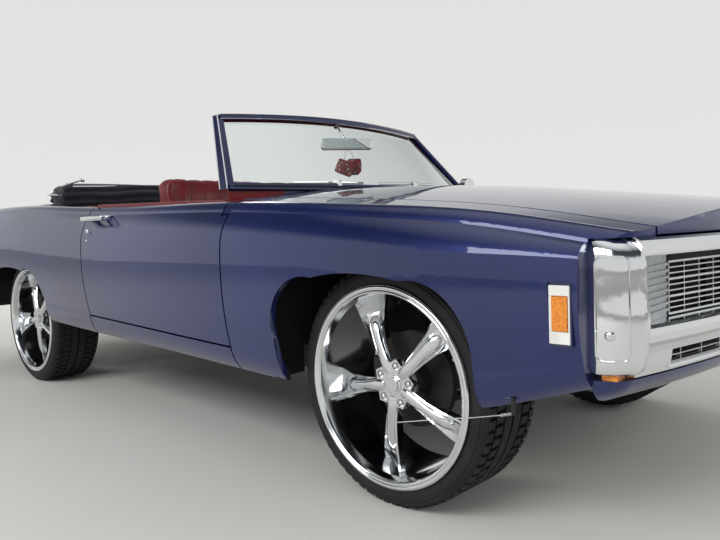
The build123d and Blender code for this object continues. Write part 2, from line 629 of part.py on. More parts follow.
# engine with its mounts on the rails, gearbox, radiator, tank: plain masses at their places
RAIL_IN_Y = NOSE_RAIL_Y - RAIL_W / 2
engine = box(1530, 2160, -260, 260, 440, 860)
engine += box(1560, 2130, -330, 330, 560, 760)
engine += box(1780, 1860, -RAIL_IN_Y + SEAT, RAIL_IN_Y - SEAT, 440, 475)
save(engine, "engine_block")
gearbox = cyl_x(0, 440, 150, 1420, 1530 - SEAT) + cyl_x(0, BOX_Z, 100, 1050, 1420) + cyl_x(0, BOX_Z, 62, 760, 1050)
gearbox += cyl_x(0, BOX_Z, BOX_NOTCH_R - SEAT, BOX_MOUNT_X - 30, BOX_MOUNT_X + 30)
save(gearbox, "gearbox")
radiator = box(2300, 2360, -APRON_Y + SEAT, APRON_Y - SEAT, 500, 900)
for s in (-1, 1):
    # feet that stand on the rails and carry the front of the wings
    radiator += sided(2310, 2350, NOSE_RAIL_Y - 25, NOSE_RAIL_Y + 25, NOSE_RAIL_Z + RAIL_H / 2 + SEAT, 501, s)
save(radiator, "radiator")
save(box(-2380, -1700, -440, 440, 380, TAIL_RAIL_Z - RAIL_H / 2 - SEAT), "fuel_tank")


def hub_stack(side, x, lip_y, drum_r, drum_d):
    # the wheel's seat: a drum or disc behind the pad plane and the spindle through the rim
    y = lambda d: side * (lip_y - d)
    out = cyl_y(x, WHEEL_R, drum_r, *sorted((y(PAD_D + SEAT), y(PAD_D + drum_d))))
    return out + cyl_y(x, WHEEL_R, HUB_R, *sorted((y(PAD_D + 5), y(SPINDLE_D))))


# rear axle: tubes, differential case, drums and spindles, and the blocks under the rails
rear_axle = cyl_y(AXLE_R, WHEEL_R, 42, -700, 700)
rear_axle += Pos(AXLE_R, 0, WHEEL_R) * Sphere(118)
rear_axle += cyl_x(0, WHEEL_R, 60, AXLE_R + 60, AXLE_R + 158)
for s in (-1, 1):
    rear_axle += hub_stack(s, AXLE_R, LIP_Y_R, DRUM_R, 90)
    rear_axle += sided(AXLE_R - 30, AXLE_R + 30, TAIL_RAIL_Y - 25, TAIL_RAIL_Y + 25, WHEEL_R,
                       AXLE_RAIL_Z - RAIL_H / 2 - SEAT, s)
save(rear_axle, "rear_axle")
shaft = rod((759.0, 0, BOX_Z), (AXLE_R + 159.0, 0, WHEEL_R), 38)
shaft -= box(760 - SEAT, 900, -100, 100, 300, 560)
shaft -= box(-1300, AXLE_R + 158 + SEAT, -100, 100, 300, 560)
save(shaft, "driveshaft")

# front suspension: cross member with upper and lower arms that end at the kingpins
ARMS = [(BALL_LOW_Z, 110.0), (BALL_HIGH_Z, 90.0)]
susp = box(AXLE_F - 60, AXLE_F + 60, -440, 440, 300, NOSE_RAIL_Z - RAIL_H / 2 - SEAT)
for s in (-1, 1):
    for z, x_in in ARMS:
        for dx in (-1, 1):
            susp += rod((AXLE_F + dx * x_in, s * 425, z + 10), (AXLE_F, s * KING_Y, z - 10), 16)
        susp += cyl_z(AXLE_F, s * KING_Y, 32, z - 28, z + 8)
        susp += sided(AXLE_F - x_in - 20, AXLE_F + x_in + 20, NOSE_RAIL_Y + RAIL_W / 2 + SEAT, 445, z - 12, z + 30, s)
save(susp, "front_suspension")


def knuckle(side):
    # upright between the ball joints, brake disc, calliper, hub flange, spindle and steering arm
    y = lambda d: side * (LIP_Y_F - d)
    k = cyl_z(AXLE_F, side * KING_Y, KING_R, BALL_LOW_Z + 8 + SEAT, BALL_HIGH_Z - 28 - SEAT)
    k += hub_stack(side, AXLE_F, LIP_Y_F, 75, 60)
    k += cyl_y(AXLE_F, WHEEL_R, 45, *sorted((y(PAD_D + 60), y(LIP_Y_F - KING_Y))))
    k += cyl_y(AXLE_F, WHEEL_R, DISC_R, *sorted((y(PAD_D + 50), y(PAD_D + 74))))
    k += box(AXLE_F - 165, AXLE_F - 90, *sorted((y(PAD_D + 36), y(PAD_D + 88))), 330, 442)
    k += rod((AXLE_F, side * KING_Y, 345), (AXLE_F - 130, side * (KING_Y - 25), 345), 14)
    return k


both(knuckle(-1), "knuckle")


def radial_plane(r, depth, phi, twist):
    # a plane across a spoke: its x axis runs round the wheel, its y axis points outboard, turned by the twist
    c, s = math.cos(math.radians(phi)), math.sin(math.radians(phi))
    k, m = math.cos(math.radians(twist)), math.sin(math.radians(twist))
    return Plane(origin=(r * c, depth, r * s), x_dir=Vector(-s * k, -m, c * k), z_dir=(c, 0, s))


def at(table, r, col):
    # a straight-line reading of one column of a table at radius r
    for p, q in zip(table[:-1], table[1:]):
        if p[0] <= r <= q[0]:
            return p[col] + (q[col] - p[col]) * (r - p[0]) / (q[0] - p[0])
    return table[0][col] if r < table[0][0] else table[-1][col]


def spoke(phi):
    # a fanned blade with raised edges and a rounded finger along its middle
    rings = []
    for r, w, d, twist, t in BLADE:
        pts = [(-w, -t), (-w, 3), (-w + 5, 7), (-w * 0.5, -3), (w * 0.5, -3), (w - 5, 7), (w, 3), (w, -t)]
        rings.append((radial_plane(r, d, phi, twist) * Polygon(*pts, align=None)).wire())
    blade = Solid.make_loft(rings, True)
    rings = []
    for r, w, h in FINGER:
        pl = radial_plane(r, at(BLADE, r, 2), phi, at(BLADE, r, 3))
        v = lambda x, y: pl.from_local_coords((x, y, 0))
        rings.append(Wire([
            Edge.make_line(v(-w, -8), v(w, -8)), Edge.make_line(v(w, -8), v(w, h * 0.35)),
            Edge.make_three_point_arc(v(w, h * 0.35), v(0, h), v(-w, h * 0.35)),
            Edge.make_line(v(-w, h * 0.35), v(-w, -8))]))
    return blade + Solid.make_loft(rings)


def depth_cyl(x, z, r, d0, d1):
    return Pos(x, (d0 + d1) / 2, z) * Rot(90, 0, 0) * Cylinder(r, d1 - d0)


def rim():
    # made at the origin: y is the depth inboard of the lip plane
    prof = [(0, RIM_LIP_R), (0, LIP_IN_R), (6, LIP_IN_R - 3), (30, BARREL_R), (RIM_W, BARREL_R), (RIM_W, RIM_LIP_R),
            (RIM_W - FLANGE, RIM_LIP_R), (RIM_W - FLANGE, BEAD_R), (RIM_W - 50, BEAD_R), (RIM_W - 70, WELL_R),
            (80, WELL_R), (60, BEAD_R), (FLANGE, BEAD_R), (FLANGE, RIM_LIP_R)]
    body = revolve(Plane.XY * Polygon(*[(r, d) for d, r in prof], align=None), axis=Axis.Y)
    pad = extrude(Plane(origin=(0, HUB_FACE_D, 0), x_dir=(1, 0, 0), z_dir=(0, 1, 0))
                  * Rot(0, 0, -LUG_A0) * RegularPolygon(HUB_PAD_R, SPOKES), amount=PAD_D - HUB_FACE_D)
    body += pad
    for i in range(SPOKES):
        body += spoke(SPOKE_A0 + 360 / SPOKES * i)
    for i in range(SPOKES):
        a = math.radians(LUG_A0 + 360 / SPOKES * i)
        body -= depth_cyl(LUG_R * math.cos(a), LUG_R * math.sin(a), LUG_POCKET_R, 0, LUG_FACE_D)
    body += depth_cyl(0, 0, CAP_R, CAP_D, HUB_FACE_D + 6)
    body -= depth_cyl(0, 0, HUB_R + HUB_FIT, SPINDLE_D - 5, PAD_D + 5)
    return body


def tyre():
    seat = FLANGE + 0.5
    prof = [(seat, BEAD_R + 0.5), (seat, WALL_R), (TREAD_IN, WHEEL_R), (RIM_W - TREAD_IN, WHEEL_R),
            (RIM_W - seat, WALL_R), (RIM_W - seat, BEAD_R + 0.5)]
    return revolve(Plane.XY * Polygon(*[(r, d) for d, r in prof], align=None), axis=Axis.Y)


rim_form, tyre_form = rim(), tyre()
for form, kind in ((rim_form, "rim"), (tyre_form, "tyre")):
    for x, lip_y, place in ((AXLE_F, LIP_Y_F, "front"), (AXLE_R, LIP_Y_R, "rear")):
        right = Pos(x, -lip_y, WHEEL_R) * form
        both(right, kind + "_" + place)

# exhaust under the floor
MUFFLER_Z = 275.0
pipes = []
for s in (-1, 1):
    pipes.append(rod((1500, s * 290, 430), (1180, s * 220, 284), 26))
    pipes.append(rod((1180, s * 220, 284), (-560, s * 220, 284), 26))
    pipes.append(box(-460, 40, s * 260 - 100, s * 260 + 100, MUFFLER_Z - 39, RAIL_Z - 30 - SEAT))
save(fuse(pipes), "exhaust")

# inside the cabin: dash with a recess for the instruments
dash = side_form((FIRE_X - 1, 760), [(905, 760), (884, 850), (868, 940, 902, 990), (950, 1034, FIRE_X - 1, 1030)], -790, 790)
dash -= box(850, 912, 190, 560, 880, 950)
dash &= fit
dash -= cowl
save(dash, "dashboard")
COL_A, COL_B = (1015.0, 370.0, 632.5), (660.0, 370.0, 900.0)
COL_DIR = (Vector(*COL_B) - Vector(*COL_A)).normalized()
column = rod(COL_A, COL_B, 24) - box(FIRE_X - SEAT, 1100, 300, 440, 500, 800)
column += box(905, 945, COL_A[1] - 18, COL_A[1] + 18, 700, 760 - SEAT)
save(column, "steering_column")
wheel_c = Vector(*COL_B) + COL_DIR * 60
wp = Plane(origin=wheel_c, z_dir=COL_DIR)
grip = revolve(Plane.XZ * Pos(STEER_R, 0) * RegularPolygon(GRIP_R, 8), axis=Axis.Z)
sw = wp * grip
sw += rod(Vector(*COL_B) + COL_DIR * SEAT, wheel_c + COL_DIR * 4, 34)
for a in (90, 210, 330):
    sw += wp * (Rot(0, 0, a) * (Pos(STEER_R / 2 + 7, 0, 0) * Box(STEER_R - 15, 26, 8)))
save(sw, "steering_wheel")


def rounded_back(y0, y1, z0, z1, r, x0, x1):
    # a block with rounded corners as seen from the front
    return Pos(x0, (y0 + y1) / 2, (z0 + z1) / 2) * extrude(Plane.YZ * RectangleRounded(y1 - y0, z1 - z0, r), amount=x1 - x0)


SEAT_Y = 752.0
SPLIT = 6.0
cushion = side_form((120, FLOOR_Z + PAN_T + SEAT), [(700, FLOOR_Z + PAN_T + SEAT), (735, 500, 722, 575), (690, 612, 640, 606),
                    (250, 570), (110, 570)], -SEAT_Y, SEAT_Y)
back = side_form((108, 565), [(250, 565), (214, 870, 178, 1140), (165, 1184, 122, 1180), (84, 1176, 84, 1130)], -SEAT_Y, SEAT_Y)
back &= rounded_back(SPLIT / 2, SEAT_Y, 400, 1184, 70, 0, 400) + rounded_back(-SEAT_Y, -SPLIT / 2, 400, 1184, 70, 0, 400)
front_seat = cushion + back
front_seat -= box(0, 1000, -TUN_Y - SEAT, TUN_Y + SEAT, 400, TUN_Z + SEAT)
save(front_seat, "front_seat")
REAR_SEAT_Y = 700.0
rear_seat = side_form((-740, PAN_Z + PAN_T + SEAT), [(HEEL_X + SEAT, PAN_Z + PAN_T + SEAT), (HEEL_X + SEAT, FLOOR_Z + PAN_T + SEAT),
                      (-160, FLOOR_Z + PAN_T + SEAT), (-136, 520, -146, 590), (-170, 632, -220, 626), (-540, 590), (-590, 840, -634, 1050),
                      (-650, 1084, -690, 1080), (-728, 1076, -745, 1050)], -REAR_SEAT_Y, REAR_SEAT_Y)
rear_seat -= box(-1000, 0, -TUN_Y - SEAT, TUN_Y + SEAT, 400, TUN_Z + SEAT)
for s in (-1, 1):
    rear_seat -= sided(-1000, WELL_WALL_X + 17, 544, 900, 0, 864, s)
save(rear_seat, "rear_seat")
top = side_form((-790, 1010), [(-940, 1040), (-1004, 1090, -990, 1160), (-960, 1200, -880, 1204), (-810, 1204, -786, 1160),
                (-778, 1085, -790, 1010)], -770, 770)
top &= rounded_back(-770, 770, 900, 1206, 60, -1100, -700)
top -= Pos(0, 0, SEAT) * outer & box(-1100, DECK_X + SEAT, -800, 800, 900, 1300)
save(top, "folded_top")
MIRROR_X, MIRROR_Z = 812.0, 1308.0
mirror_in = rounded_back(-120, 120, MIRROR_Z - 31, MIRROR_Z + 31, 22, MIRROR_X - 8, MIRROR_X + 8)
mirror_in += rod((MIRROR_X, 0, MIRROR_Z + 22), (748, 0, 1414), 6)
mirror_in -= ws_frame
save(mirror_in, "inside_mirror")
# door mirror: a round head on a stalk whose foot stands on the left door
mir = Pos(880, 950, 1098) * Rot(0, 90, 0) * Cylinder(56, 40)
mir += rod((880, 914, 1034), (880, 938, 1075), 9)
mir += box(850, 910, 896, 932, 985, 1040)
mir -= Pos(0, SEAT, SEAT) * outer
save(mir, "door_mirror")

# bumper loop: two upright ends, an upper bar and a lower bar with its slot
POD_STEPS = [(POD_LOW, 26.0), (540.0, 8.0), (570.0, 0.0), (700.0, -3.0), (780.0, 0.0), (812.0, 8.0), (832.0, 24.0),
             (POD_TOP, 46.0)]
TOP_BAR = [(3415, 812), (3415, 824), (3450, 846), (3504, 846), (3520, 838), (3524, 824), (3522, 808), (3510, 802),
           (3498, 802), (3498, 812)]
LOW_BAR = [(3415, 622), (3415, 636), (3506, 636), (3520, 630), (3524, 616), (3523, 598), (3514, 586), (3508, 570),
           (3503, 534), (3499, 516), (3488, 510), (3478, 510), (3484, 560), (3496, 590), (3502, 612), (3490, 622)]
BAR_HALF = 875.0
loop = ring(TOP_BAR, BAR_HALF, BAR_R) + ring(LOW_BAR, BAR_HALF, BAR_R)
for s in (-1, 1):
    loop += Solid.make_loft([pod_outline(z, inset, s) for z, inset in POD_STEPS])
loop -= box(2500, FENDER_X1 + SEAT, -1100, 1100, 300, 1000)
loop -= box(2500, 2900, -SLOT_Y, SLOT_Y, SLOT_LOW, SLOT_TOP)
save(loop, "front_bumper")

# painted valance below the bumper
VALANCE = [(452.0, 92.0), (470.0, 58.0), (490.0, 38.0), (BUMPER_LOW - SEAT, 30.0)]
VALANCE_T = 10.0
skirt = Solid.make_loft([nose_outline(z, i) for z, i in VALANCE])
skirt -= Solid.make_loft([nose_outline(z + k, i + VALANCE_T) for (z, i), k in zip(VALANCE, (-1, 0, 0, 1))])
skirt &= box(FENDER_X1 + SEAT, 2900, -1000, 1000, 400, 600)
skirt = max(skirt.solids(), key=lambda k: k.volume)
save(skirt, "front_valance")


def lattice(p, q, backed):
    # egg-crate panel from plan point p to q: every third bar is thick; the posts stand behind the bars' edges
    run = Vector(q[0] - p[0], q[1] - p[1], 0)
    n = round(run.length / POST_PITCH)
    z0, z1 = OPEN_LOW + SEAT, OPEN_TOP - SEAT
    parts = [box(0, run.length, 0, LATTICE_D, z0, LATTICE_Z0), box(0, run.length, 0, LATTICE_D, LATTICE_Z1, z1),
             box(0, run.length, 6, LATTICE_D, z1 - 6, HANGER_TOP - SEAT)]
    for i in range(LATTICE_ROWS):
        t = BAR_THIN if i % 3 else BAR_THICK
        z = LATTICE_Z0 + i * LATTICE_PITCH
        parts.append(box(0, run.length, 0, LATTICE_D, z - t / 2, z + t / 2))
    for i in range(n + 1):
        u = min(max(i * run.length / n, BAR_THIN / 2), run.length - BAR_THIN / 2)
        parts.append(box(u - BAR_THIN / 2, u + BAR_THIN / 2, 4, LATTICE_D, z0, z1))
    if backed:
        parts.append(box(0, run.length, LATTICE_D - 1, LATTICE_D + 3, z0, z1))
    return Plane(origin=(p[0], p[1], 0), x_dir=run, z_dir=(0, 0, 1)) * fuse(parts)


def ribbed(p, q):
    # plain panel beside the upright ends with raised ribs across it
    run = Vector(q[0] - p[0], q[1] - p[1], 0)
    parts = [box(0, run.length, 0, 8, OPEN_LOW + SEAT, OPEN_TOP - SEAT)]
    for i in range(RIBS):
        z = RIB_Z0 + i * RIB_PITCH
        parts.append(box(0, run.length, -6, 2, z - 3.5, z + 3.5))
    return Plane(origin=(p[0], p[1], 0), x_dir=run, z_dir=(0, 0, 1)) * fuse(parts)


grille = lattice((GRILLE_X, -GRILLE_Y), (GRILLE_X, GRILLE_Y), False)
strip = []
for z0, z1 in ((SLOT_LOW + SEAT, SLOT_LOW + 3.5), (548.5, 551.5), (SLOT_TOP - 3.5, SLOT_TOP - SEAT)):
    strip.append(ring([(3486, z0), (3497, z0), (3497, z1), (3486, z1)], SLOT_Y - 1, 3497))
posts = 2 * int(SLOT_Y // POST_PITCH)
for i in range(posts + 1):
    a = math.degrees(math.asin((i - posts / 2) * POST_PITCH / 3490))
    post = box(3488, 3497, -BAR_THIN / 2, BAR_THIN / 2, SLOT_LOW + SEAT, SLOT_TOP - SEAT)
    strip.append(Pos(BAR_CX, 0, 0) * Rot(0, 0, a) * post)
save(Compound(children=[grille, fuse(strip)]), "grille")
cover = lattice((GRILLE_X - 2, GRILLE_Y + 6), (COVER_X, COVER_Y), True)
cover += ribbed((RIB_X + 6, COVER_Y), (RIB_X + 14, RIB_Y))
save(Compound(children=[cover, mirror(cover, about=Plane.XZ)]), "headlamp_covers")


def bar_plan(z, x_mid, inset):
    # plan of the rear bumper at height z: a shallow arc with swept corners
    half, corner, r = 800.0, 100.0 - inset, 6000.0
    x_mid -= inset
    x_e = x_mid - half * half / (2 * r)
    hb, xb = half + corner, x_e - corner
    v = lambda x, y: Vector(-x, y, z)
    return Wire([
        Edge.make_three_point_arc(v(x_e, -half), v(x_mid, 0), v(x_e, half)),
        Edge.make_three_point_arc(v(x_e, half), v(x_e - corner * 0.3, half + corner * 0.7), v(xb, hb)),
        Edge.make_line(v(xb, hb), v(-TAIL_X - 60, hb)), Edge.make_line(v(-TAIL_X - 60, hb), v(-TAIL_X - 60, -hb)),
        Edge.make_line(v(-TAIL_X - 60, -hb), v(xb, -hb)),
        Edge.make_three_point_arc(v(xb, -hb), v(x_e - corner * 0.3, -half - corner * 0.7), v(x_e, -half))])


REAR_STEPS = [(500.0, 30.0), (518.0, 8.0), (590.0, 0.0), (668.0, 8.0), (690.0, 30.0)]
PLATE_X, PLATE_Z, PLATE_HOLE_R, PLATE_PITCH = -LENGTH / 2 + 6, 640.0, 3.5, 177.8
rb = Solid.make_loft([bar_plan(z, LENGTH / 2, inset) for z, inset in REAR_STEPS])
rb -= box(TAIL_X - SEAT, 0, -2000, 2000, 0, 2000)
rb -= box(-LENGTH / 2 - 10, PLATE_X, -165, 165, 515, 675)
for s in (-1, 1):
    rb -= cyl_x(s * PLATE_PITCH / 2, PLATE_Z, PLATE_HOLE_R, PLATE_X - 10, PLATE_X + 30)
save(rb, "rear_bumper")
LAMP_Y0, LAMP_PITCH = 560.0, 110.0
save(Compound(children=[sided(TAIL_X - 20, TAIL_X - SEAT, LAMP_Y0 + i * LAMP_PITCH - 45, LAMP_Y0 + i * LAMP_PITCH + 45, 720, 800, s)
                        for s in (-1, 1) for i in range(3)]), "tail_lamps")
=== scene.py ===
"""A two-door convertible on large twisted-spoke wheels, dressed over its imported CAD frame."""

import json
import math

import bmesh
import bpy
from bpy.props import FloatProperty, IntProperty, PointerProperty
from mathutils import Matrix, Vector
from mathutils.bvhtree import BVHTree


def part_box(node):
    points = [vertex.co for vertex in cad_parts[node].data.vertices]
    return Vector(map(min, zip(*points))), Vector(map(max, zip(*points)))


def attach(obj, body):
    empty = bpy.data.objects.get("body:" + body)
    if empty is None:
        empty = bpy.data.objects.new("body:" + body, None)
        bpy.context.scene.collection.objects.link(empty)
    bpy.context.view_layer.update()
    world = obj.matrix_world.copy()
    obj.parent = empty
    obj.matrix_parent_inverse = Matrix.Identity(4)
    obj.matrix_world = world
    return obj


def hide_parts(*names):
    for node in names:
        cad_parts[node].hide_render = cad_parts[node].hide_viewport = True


bl_info = {
    "name": "Convertible on twisted-spoke wheels",
    "version": (1, 0, 0),
    "blender": (4, 5, 0),
    "location": "3D View > Sidebar > Convertible",
    "description": "Adds finishes, tyres, trim, seats and a studio to the convertible's CAD frame",
    "category": "Object",
}

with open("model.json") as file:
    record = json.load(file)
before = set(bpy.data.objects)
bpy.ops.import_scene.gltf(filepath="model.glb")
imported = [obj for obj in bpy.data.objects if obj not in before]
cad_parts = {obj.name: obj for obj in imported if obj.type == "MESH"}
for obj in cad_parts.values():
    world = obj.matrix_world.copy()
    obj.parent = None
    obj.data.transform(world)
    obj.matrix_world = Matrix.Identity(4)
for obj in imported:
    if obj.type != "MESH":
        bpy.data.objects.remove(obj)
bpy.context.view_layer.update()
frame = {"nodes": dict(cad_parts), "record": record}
NODES = frame["nodes"]

# the camera that the photograph was solved for: place, heading, tilt, roll in degrees, focal length in pixels
CAMERA_AT = (3.242, -2.4302, 0.8982)
CAMERA_YAW, CAMERA_PITCH, CAMERA_ROLL = -44.163, -3.773, -2.255
FOCAL_PX = 675.5
PHOTO_W = 720

# places taken over from the CAD model, in metres
AXLES = {"front": 1.822, "rear": -1.201}
LIPS = {"front": 0.883, "rear": 0.848}
HUB_Z = 0.386
TAIL_X = -2.6397
TAIL_HALF_Y = 0.82
GAUGE_X, GAUGE_Z = 0.9112, 0.915
COLUMN_TOP = Vector((0.660, 0.370, 0.900))
COLUMN_DIR = Vector((-355.0, 0.0, 267.5)).normalized()
SIDES = {"right": -1, "left": 1}

# what covers the body's enamel inside boxes: two corners in metres, dark and light colour, dullness
PAINT_LAYERS = (
    # cabin carpet and cabin trim
    ((-0.776, 0.0, 0.412), (1.0115, 0.829, 0.562), "#1d0709", "#360c10", 0.95),
    ((-0.776, 0.0, 0.562), (1.0115, 0.8395, 1.058), "#570a0f", "#7c1117", 0.48),
    # undercoat in the front and rear wheel wells
    ((AXLES["front"] - 0.476, 0.0, 0.2), (AXLES["front"] + 0.476, 0.936, 0.86), "#08080a", "#141416", 0.85),
    ((AXLES["rear"] - 0.506, 0.0, 0.2), (AXLES["rear"] + 0.506, 0.884, 0.90), "#08080a", "#141416", 0.85),
)


def linear(code):
    """A hex sRGB colour as linear RGBA."""
    out = []
    for i in (1, 3, 5):
        c = int(code[i:i + 2], 16) / 255
        out.append(c / 12.92 if c <= 0.04045 else ((c + 0.055) / 1.055) ** 2.4)
    return (*out, 1.0)


NOISE, CELLS, WAVES = "ShaderNodeTexNoise", "ShaderNodeTexVoronoi", "ShaderNodeTexWave"
RAMP, SPAN, MIX, MATH, BUMP = ("ShaderNodeValToRGB", "ShaderNodeMapRange", "ShaderNodeMix", "ShaderNodeMath",
                               "ShaderNodeBump")


def add_node(tree, kind, inputs=None, links=None, settings=None, stops=(), out=0):
    """Adds one node with its socket values, its links from other nodes' outputs and its settings, and gives
    the output that is asked for. Stops are a colour ramp's, as (position, hex colour)."""
    node = tree.nodes.new(kind)
    for key, value in (settings or {}).items():
        setattr(node, key, value)
    for key, value in (inputs or {}).items():
        node.inputs[key].default_value = value
    for key, source in (links or {}).items():
        tree.links.new(source, node.inputs[key])
    while stops and len(node.color_ramp.elements) < len(stops):
        node.color_ramp.elements.new(0.5)
    for index, (at, code) in enumerate(stops):
        node.color_ramp.elements[index].position = at
        node.color_ramp.elements[index].color = linear(code)
    return node.outputs[out] if node.outputs else None


def start_material(name):
    """An empty node material and the object coordinates that its patterns follow."""
    mat = bpy.data.materials.new(name)
    mat.use_nodes = True
    mat.node_tree.nodes.clear()
    return mat, mat.node_tree, add_node(mat.node_tree, "ShaderNodeTexCoord", out="Object")


def close_material(mat, tree, inputs, links):
    """The one shader of a material and its output."""
    shader = add_node(tree, "ShaderNodeBsdfPrincipled", inputs, links)
    add_node(tree, "ShaderNodeOutputMaterial", links={"Surface": shader})
    return mat


def inside(tree, place, low, high):
    """1 inside a box that is given in metres, mirrored over the car's middle, else 0."""
    split = add_node(tree, "ShaderNodeSeparateXYZ", links={"Vector": place}).node.outputs
    across = add_node(tree, MATH, links={0: split["Y"]}, settings={"operation": "ABSOLUTE"})
    total = None
    for source, a, b in zip((split["X"], across, split["Z"]), low, high):
        near = add_node(tree, MATH, {1: (a + b) / 2, 2: (b - a) / 2}, {0: source}, {"operation": "COMPARE"})
        if total:
            near = add_node(tree, MATH, links={0: total, 1: near}, settings={"operation": "MULTIPLY"})
        total = near
    return total


def metallic_paint(name, low, high, flake, dust):
    """Car enamel with metal flakes under clear lacquer: deep colour, small sparkle, a mirror-like coat, a
    little dust. PAINT_LAYERS cover it with undercoat in the wheel wells and with trim and carpet inside."""
    mat, t, place = start_material(name)
    cloud = add_node(t, NOISE, {"Scale": 1000 / 900, "Detail": 2.0, "Roughness": 0.55}, {"Vector": place})
    colour = add_node(t, RAMP, links={"Fac": cloud}, stops=[(0.3, low), (0.7, high)])
    # flakes of 0.1 mm, drawn at 2.4 mm so that they show
    flakes = add_node(t, CELLS, {"Scale": 420.0, "Randomness": 1.0}, {"Vector": place}, out="Color")
    grit = add_node(t, "ShaderNodeSeparateColor", links={"Color": flakes}, out="Red")
    sparkle = add_node(t, SPAN, {"To Min": 0.0, "To Max": 0.16}, {"Value": grit})
    colour = add_node(t, MIX, {7: linear(flake)}, {0: sparkle, 6: colour}, {"data_type": "RGBA"}, out=2)
    film = add_node(t, NOISE, {"Scale": 1000 / 130, "Detail": 5.0, "Roughness": 0.65}, {"Vector": place})
    rough = add_node(t, SPAN, {"To Min": 0.30, "To Max": 0.30 + dust}, {"Value": film})
    matt = None
    for low_corner, high_corner, dark, light, dullness in PAINT_LAYERS:
        here = inside(t, place, low_corner, high_corner)
        blotches = add_node(t, NOISE, {"Scale": 1000 / 14, "Detail": 4.0, "Roughness": 0.7},
                            {"Vector": place})
        cover = add_node(t, RAMP, links={"Fac": blotches}, stops=[(0.3, dark), (0.7, light)])
        colour = add_node(t, MIX, links={0: here, 6: colour, 7: cover}, settings={"data_type": "RGBA"}, out=2)
        dull = add_node(t, SPAN, {"To Min": 0.0, "To Max": dullness}, {"Value": here})
        rough = add_node(t, MATH, links={0: rough, 1: dull}, settings={"operation": "MAXIMUM"})
        if matt:
            here = add_node(t, MATH, links={0: matt, 1: here}, settings={"operation": "MAXIMUM"})
        matt = here
    metal = add_node(t, SPAN, {"To Min": 0.55, "To Max": 0.0}, {"Value": matt})
    lacquer = add_node(t, SPAN, {"To Min": 1.0, "To Max": 0.0}, {"Value": matt})
    peel = add_node(t, NOISE, {"Scale": 1000 / 260, "Detail": 1.0, "Roughness": 0.55}, {"Vector": place})
    wave = add_node(t, BUMP, {"Distance": 0.0006, "Strength": 0.10}, {"Height": peel})
    return close_material(mat, t, {"Coat Roughness": 0.025, "Coat IOR": 1.5},
                          {"Base Color": colour, "Roughness": rough, "Coat Normal": wave, "Metallic": metal,
                           "Coat Weight": lacquer})


def plated(name, code, rough_low, rough_high, pit):
    """Chromium over steel or polished aluminium: white metal, soft smears, faint pitting."""
    mat, t, place = start_material(name)
    smear = add_node(t, NOISE, {"Scale": 1000 / 60, "Detail": 6.0, "Roughness": 0.7}, {"Vector": place})
    specks = add_node(t, CELLS, {"Scale": 350.0}, {"Vector": place})
    rough = add_node(t, SPAN, {"To Min": rough_low, "To Max": rough_high}, {"Value": smear})
    normal = add_node(t, BUMP, {"Distance": 0.00005, "Strength": pit}, {"Height": specks})
    return close_material(mat, t, {"Base Color": linear(code), "Metallic": 1.0},
                          {"Roughness": rough, "Normal": normal})


def moulded(name, low, high, grain_mm, rough_low, rough_high, depth_mm=0.15, metallic=0.0):
    """A moulded, cast or painted matt surface: blotched colour, fine grain in its relief."""
    mat, t, place = start_material(name)
    blotches = add_node(t, NOISE, {"Scale": 1000 / (grain_mm * 24), "Detail": 5.0, "Roughness": 0.6},
                        {"Vector": place})
    colour = add_node(t, RAMP, links={"Fac": blotches}, stops=[(0.3, low), (0.72, high)])
    grain = add_node(t, NOISE, {"Scale": 1000 / grain_mm, "Detail": 4.0, "Roughness": 0.6}, {"Vector": place})
    rough = add_node(t, SPAN, {"To Min": rough_low, "To Max": rough_high}, {"Value": grain})
    normal = add_node(t, BUMP, {"Distance": depth_mm / 1000, "Strength": 0.6}, {"Height": grain})
    return close_material(mat, t, {"Metallic": metallic},
                          {"Base Color": colour, "Roughness": rough, "Normal": normal})


def vinyl(name, low, high):
    """Embossed seat vinyl with a satin sheen: leather-like cells about 1.6 mm across, drawn at 4 mm so that
    they show."""
    mat, t, place = start_material(name)
    blotches = add_node(t, NOISE, {"Scale": 1000 / 70, "Detail": 5.0, "Roughness": 0.6}, {"Vector": place})
    colour = add_node(t, RAMP, links={"Fac": blotches}, stops=[(0.28, low), (0.75, high)])
    cells = add_node(t, CELLS, {"Scale": 1000 / 4}, {"Vector": place}, {"feature": "DISTANCE_TO_EDGE"})
    cell_relief = add_node(t, BUMP, {"Distance": 0.0004, "Strength": 0.35}, {"Height": cells})
    creases = add_node(t, NOISE, {"Scale": 1000 / 22, "Detail": 3.0, "Roughness": 0.55}, {"Vector": place})
    normal = add_node(t, BUMP, {"Distance": 0.0008, "Strength": 0.3},
                      {"Height": creases, "Normal": cell_relief})
    wear = add_node(t, NOISE, {"Scale": 1000 / 45, "Detail": 3.0, "Roughness": 0.55}, {"Vector": place})
    rough = add_node(t, SPAN, {"To Min": 0.34, "To Max": 0.52}, {"Value": wear})
    return close_material(mat, t, {"Specular IOR Level": 0.45, "Sheen Weight": 0.08},
                          {"Base Color": colour, "Roughness": rough, "Normal": normal})


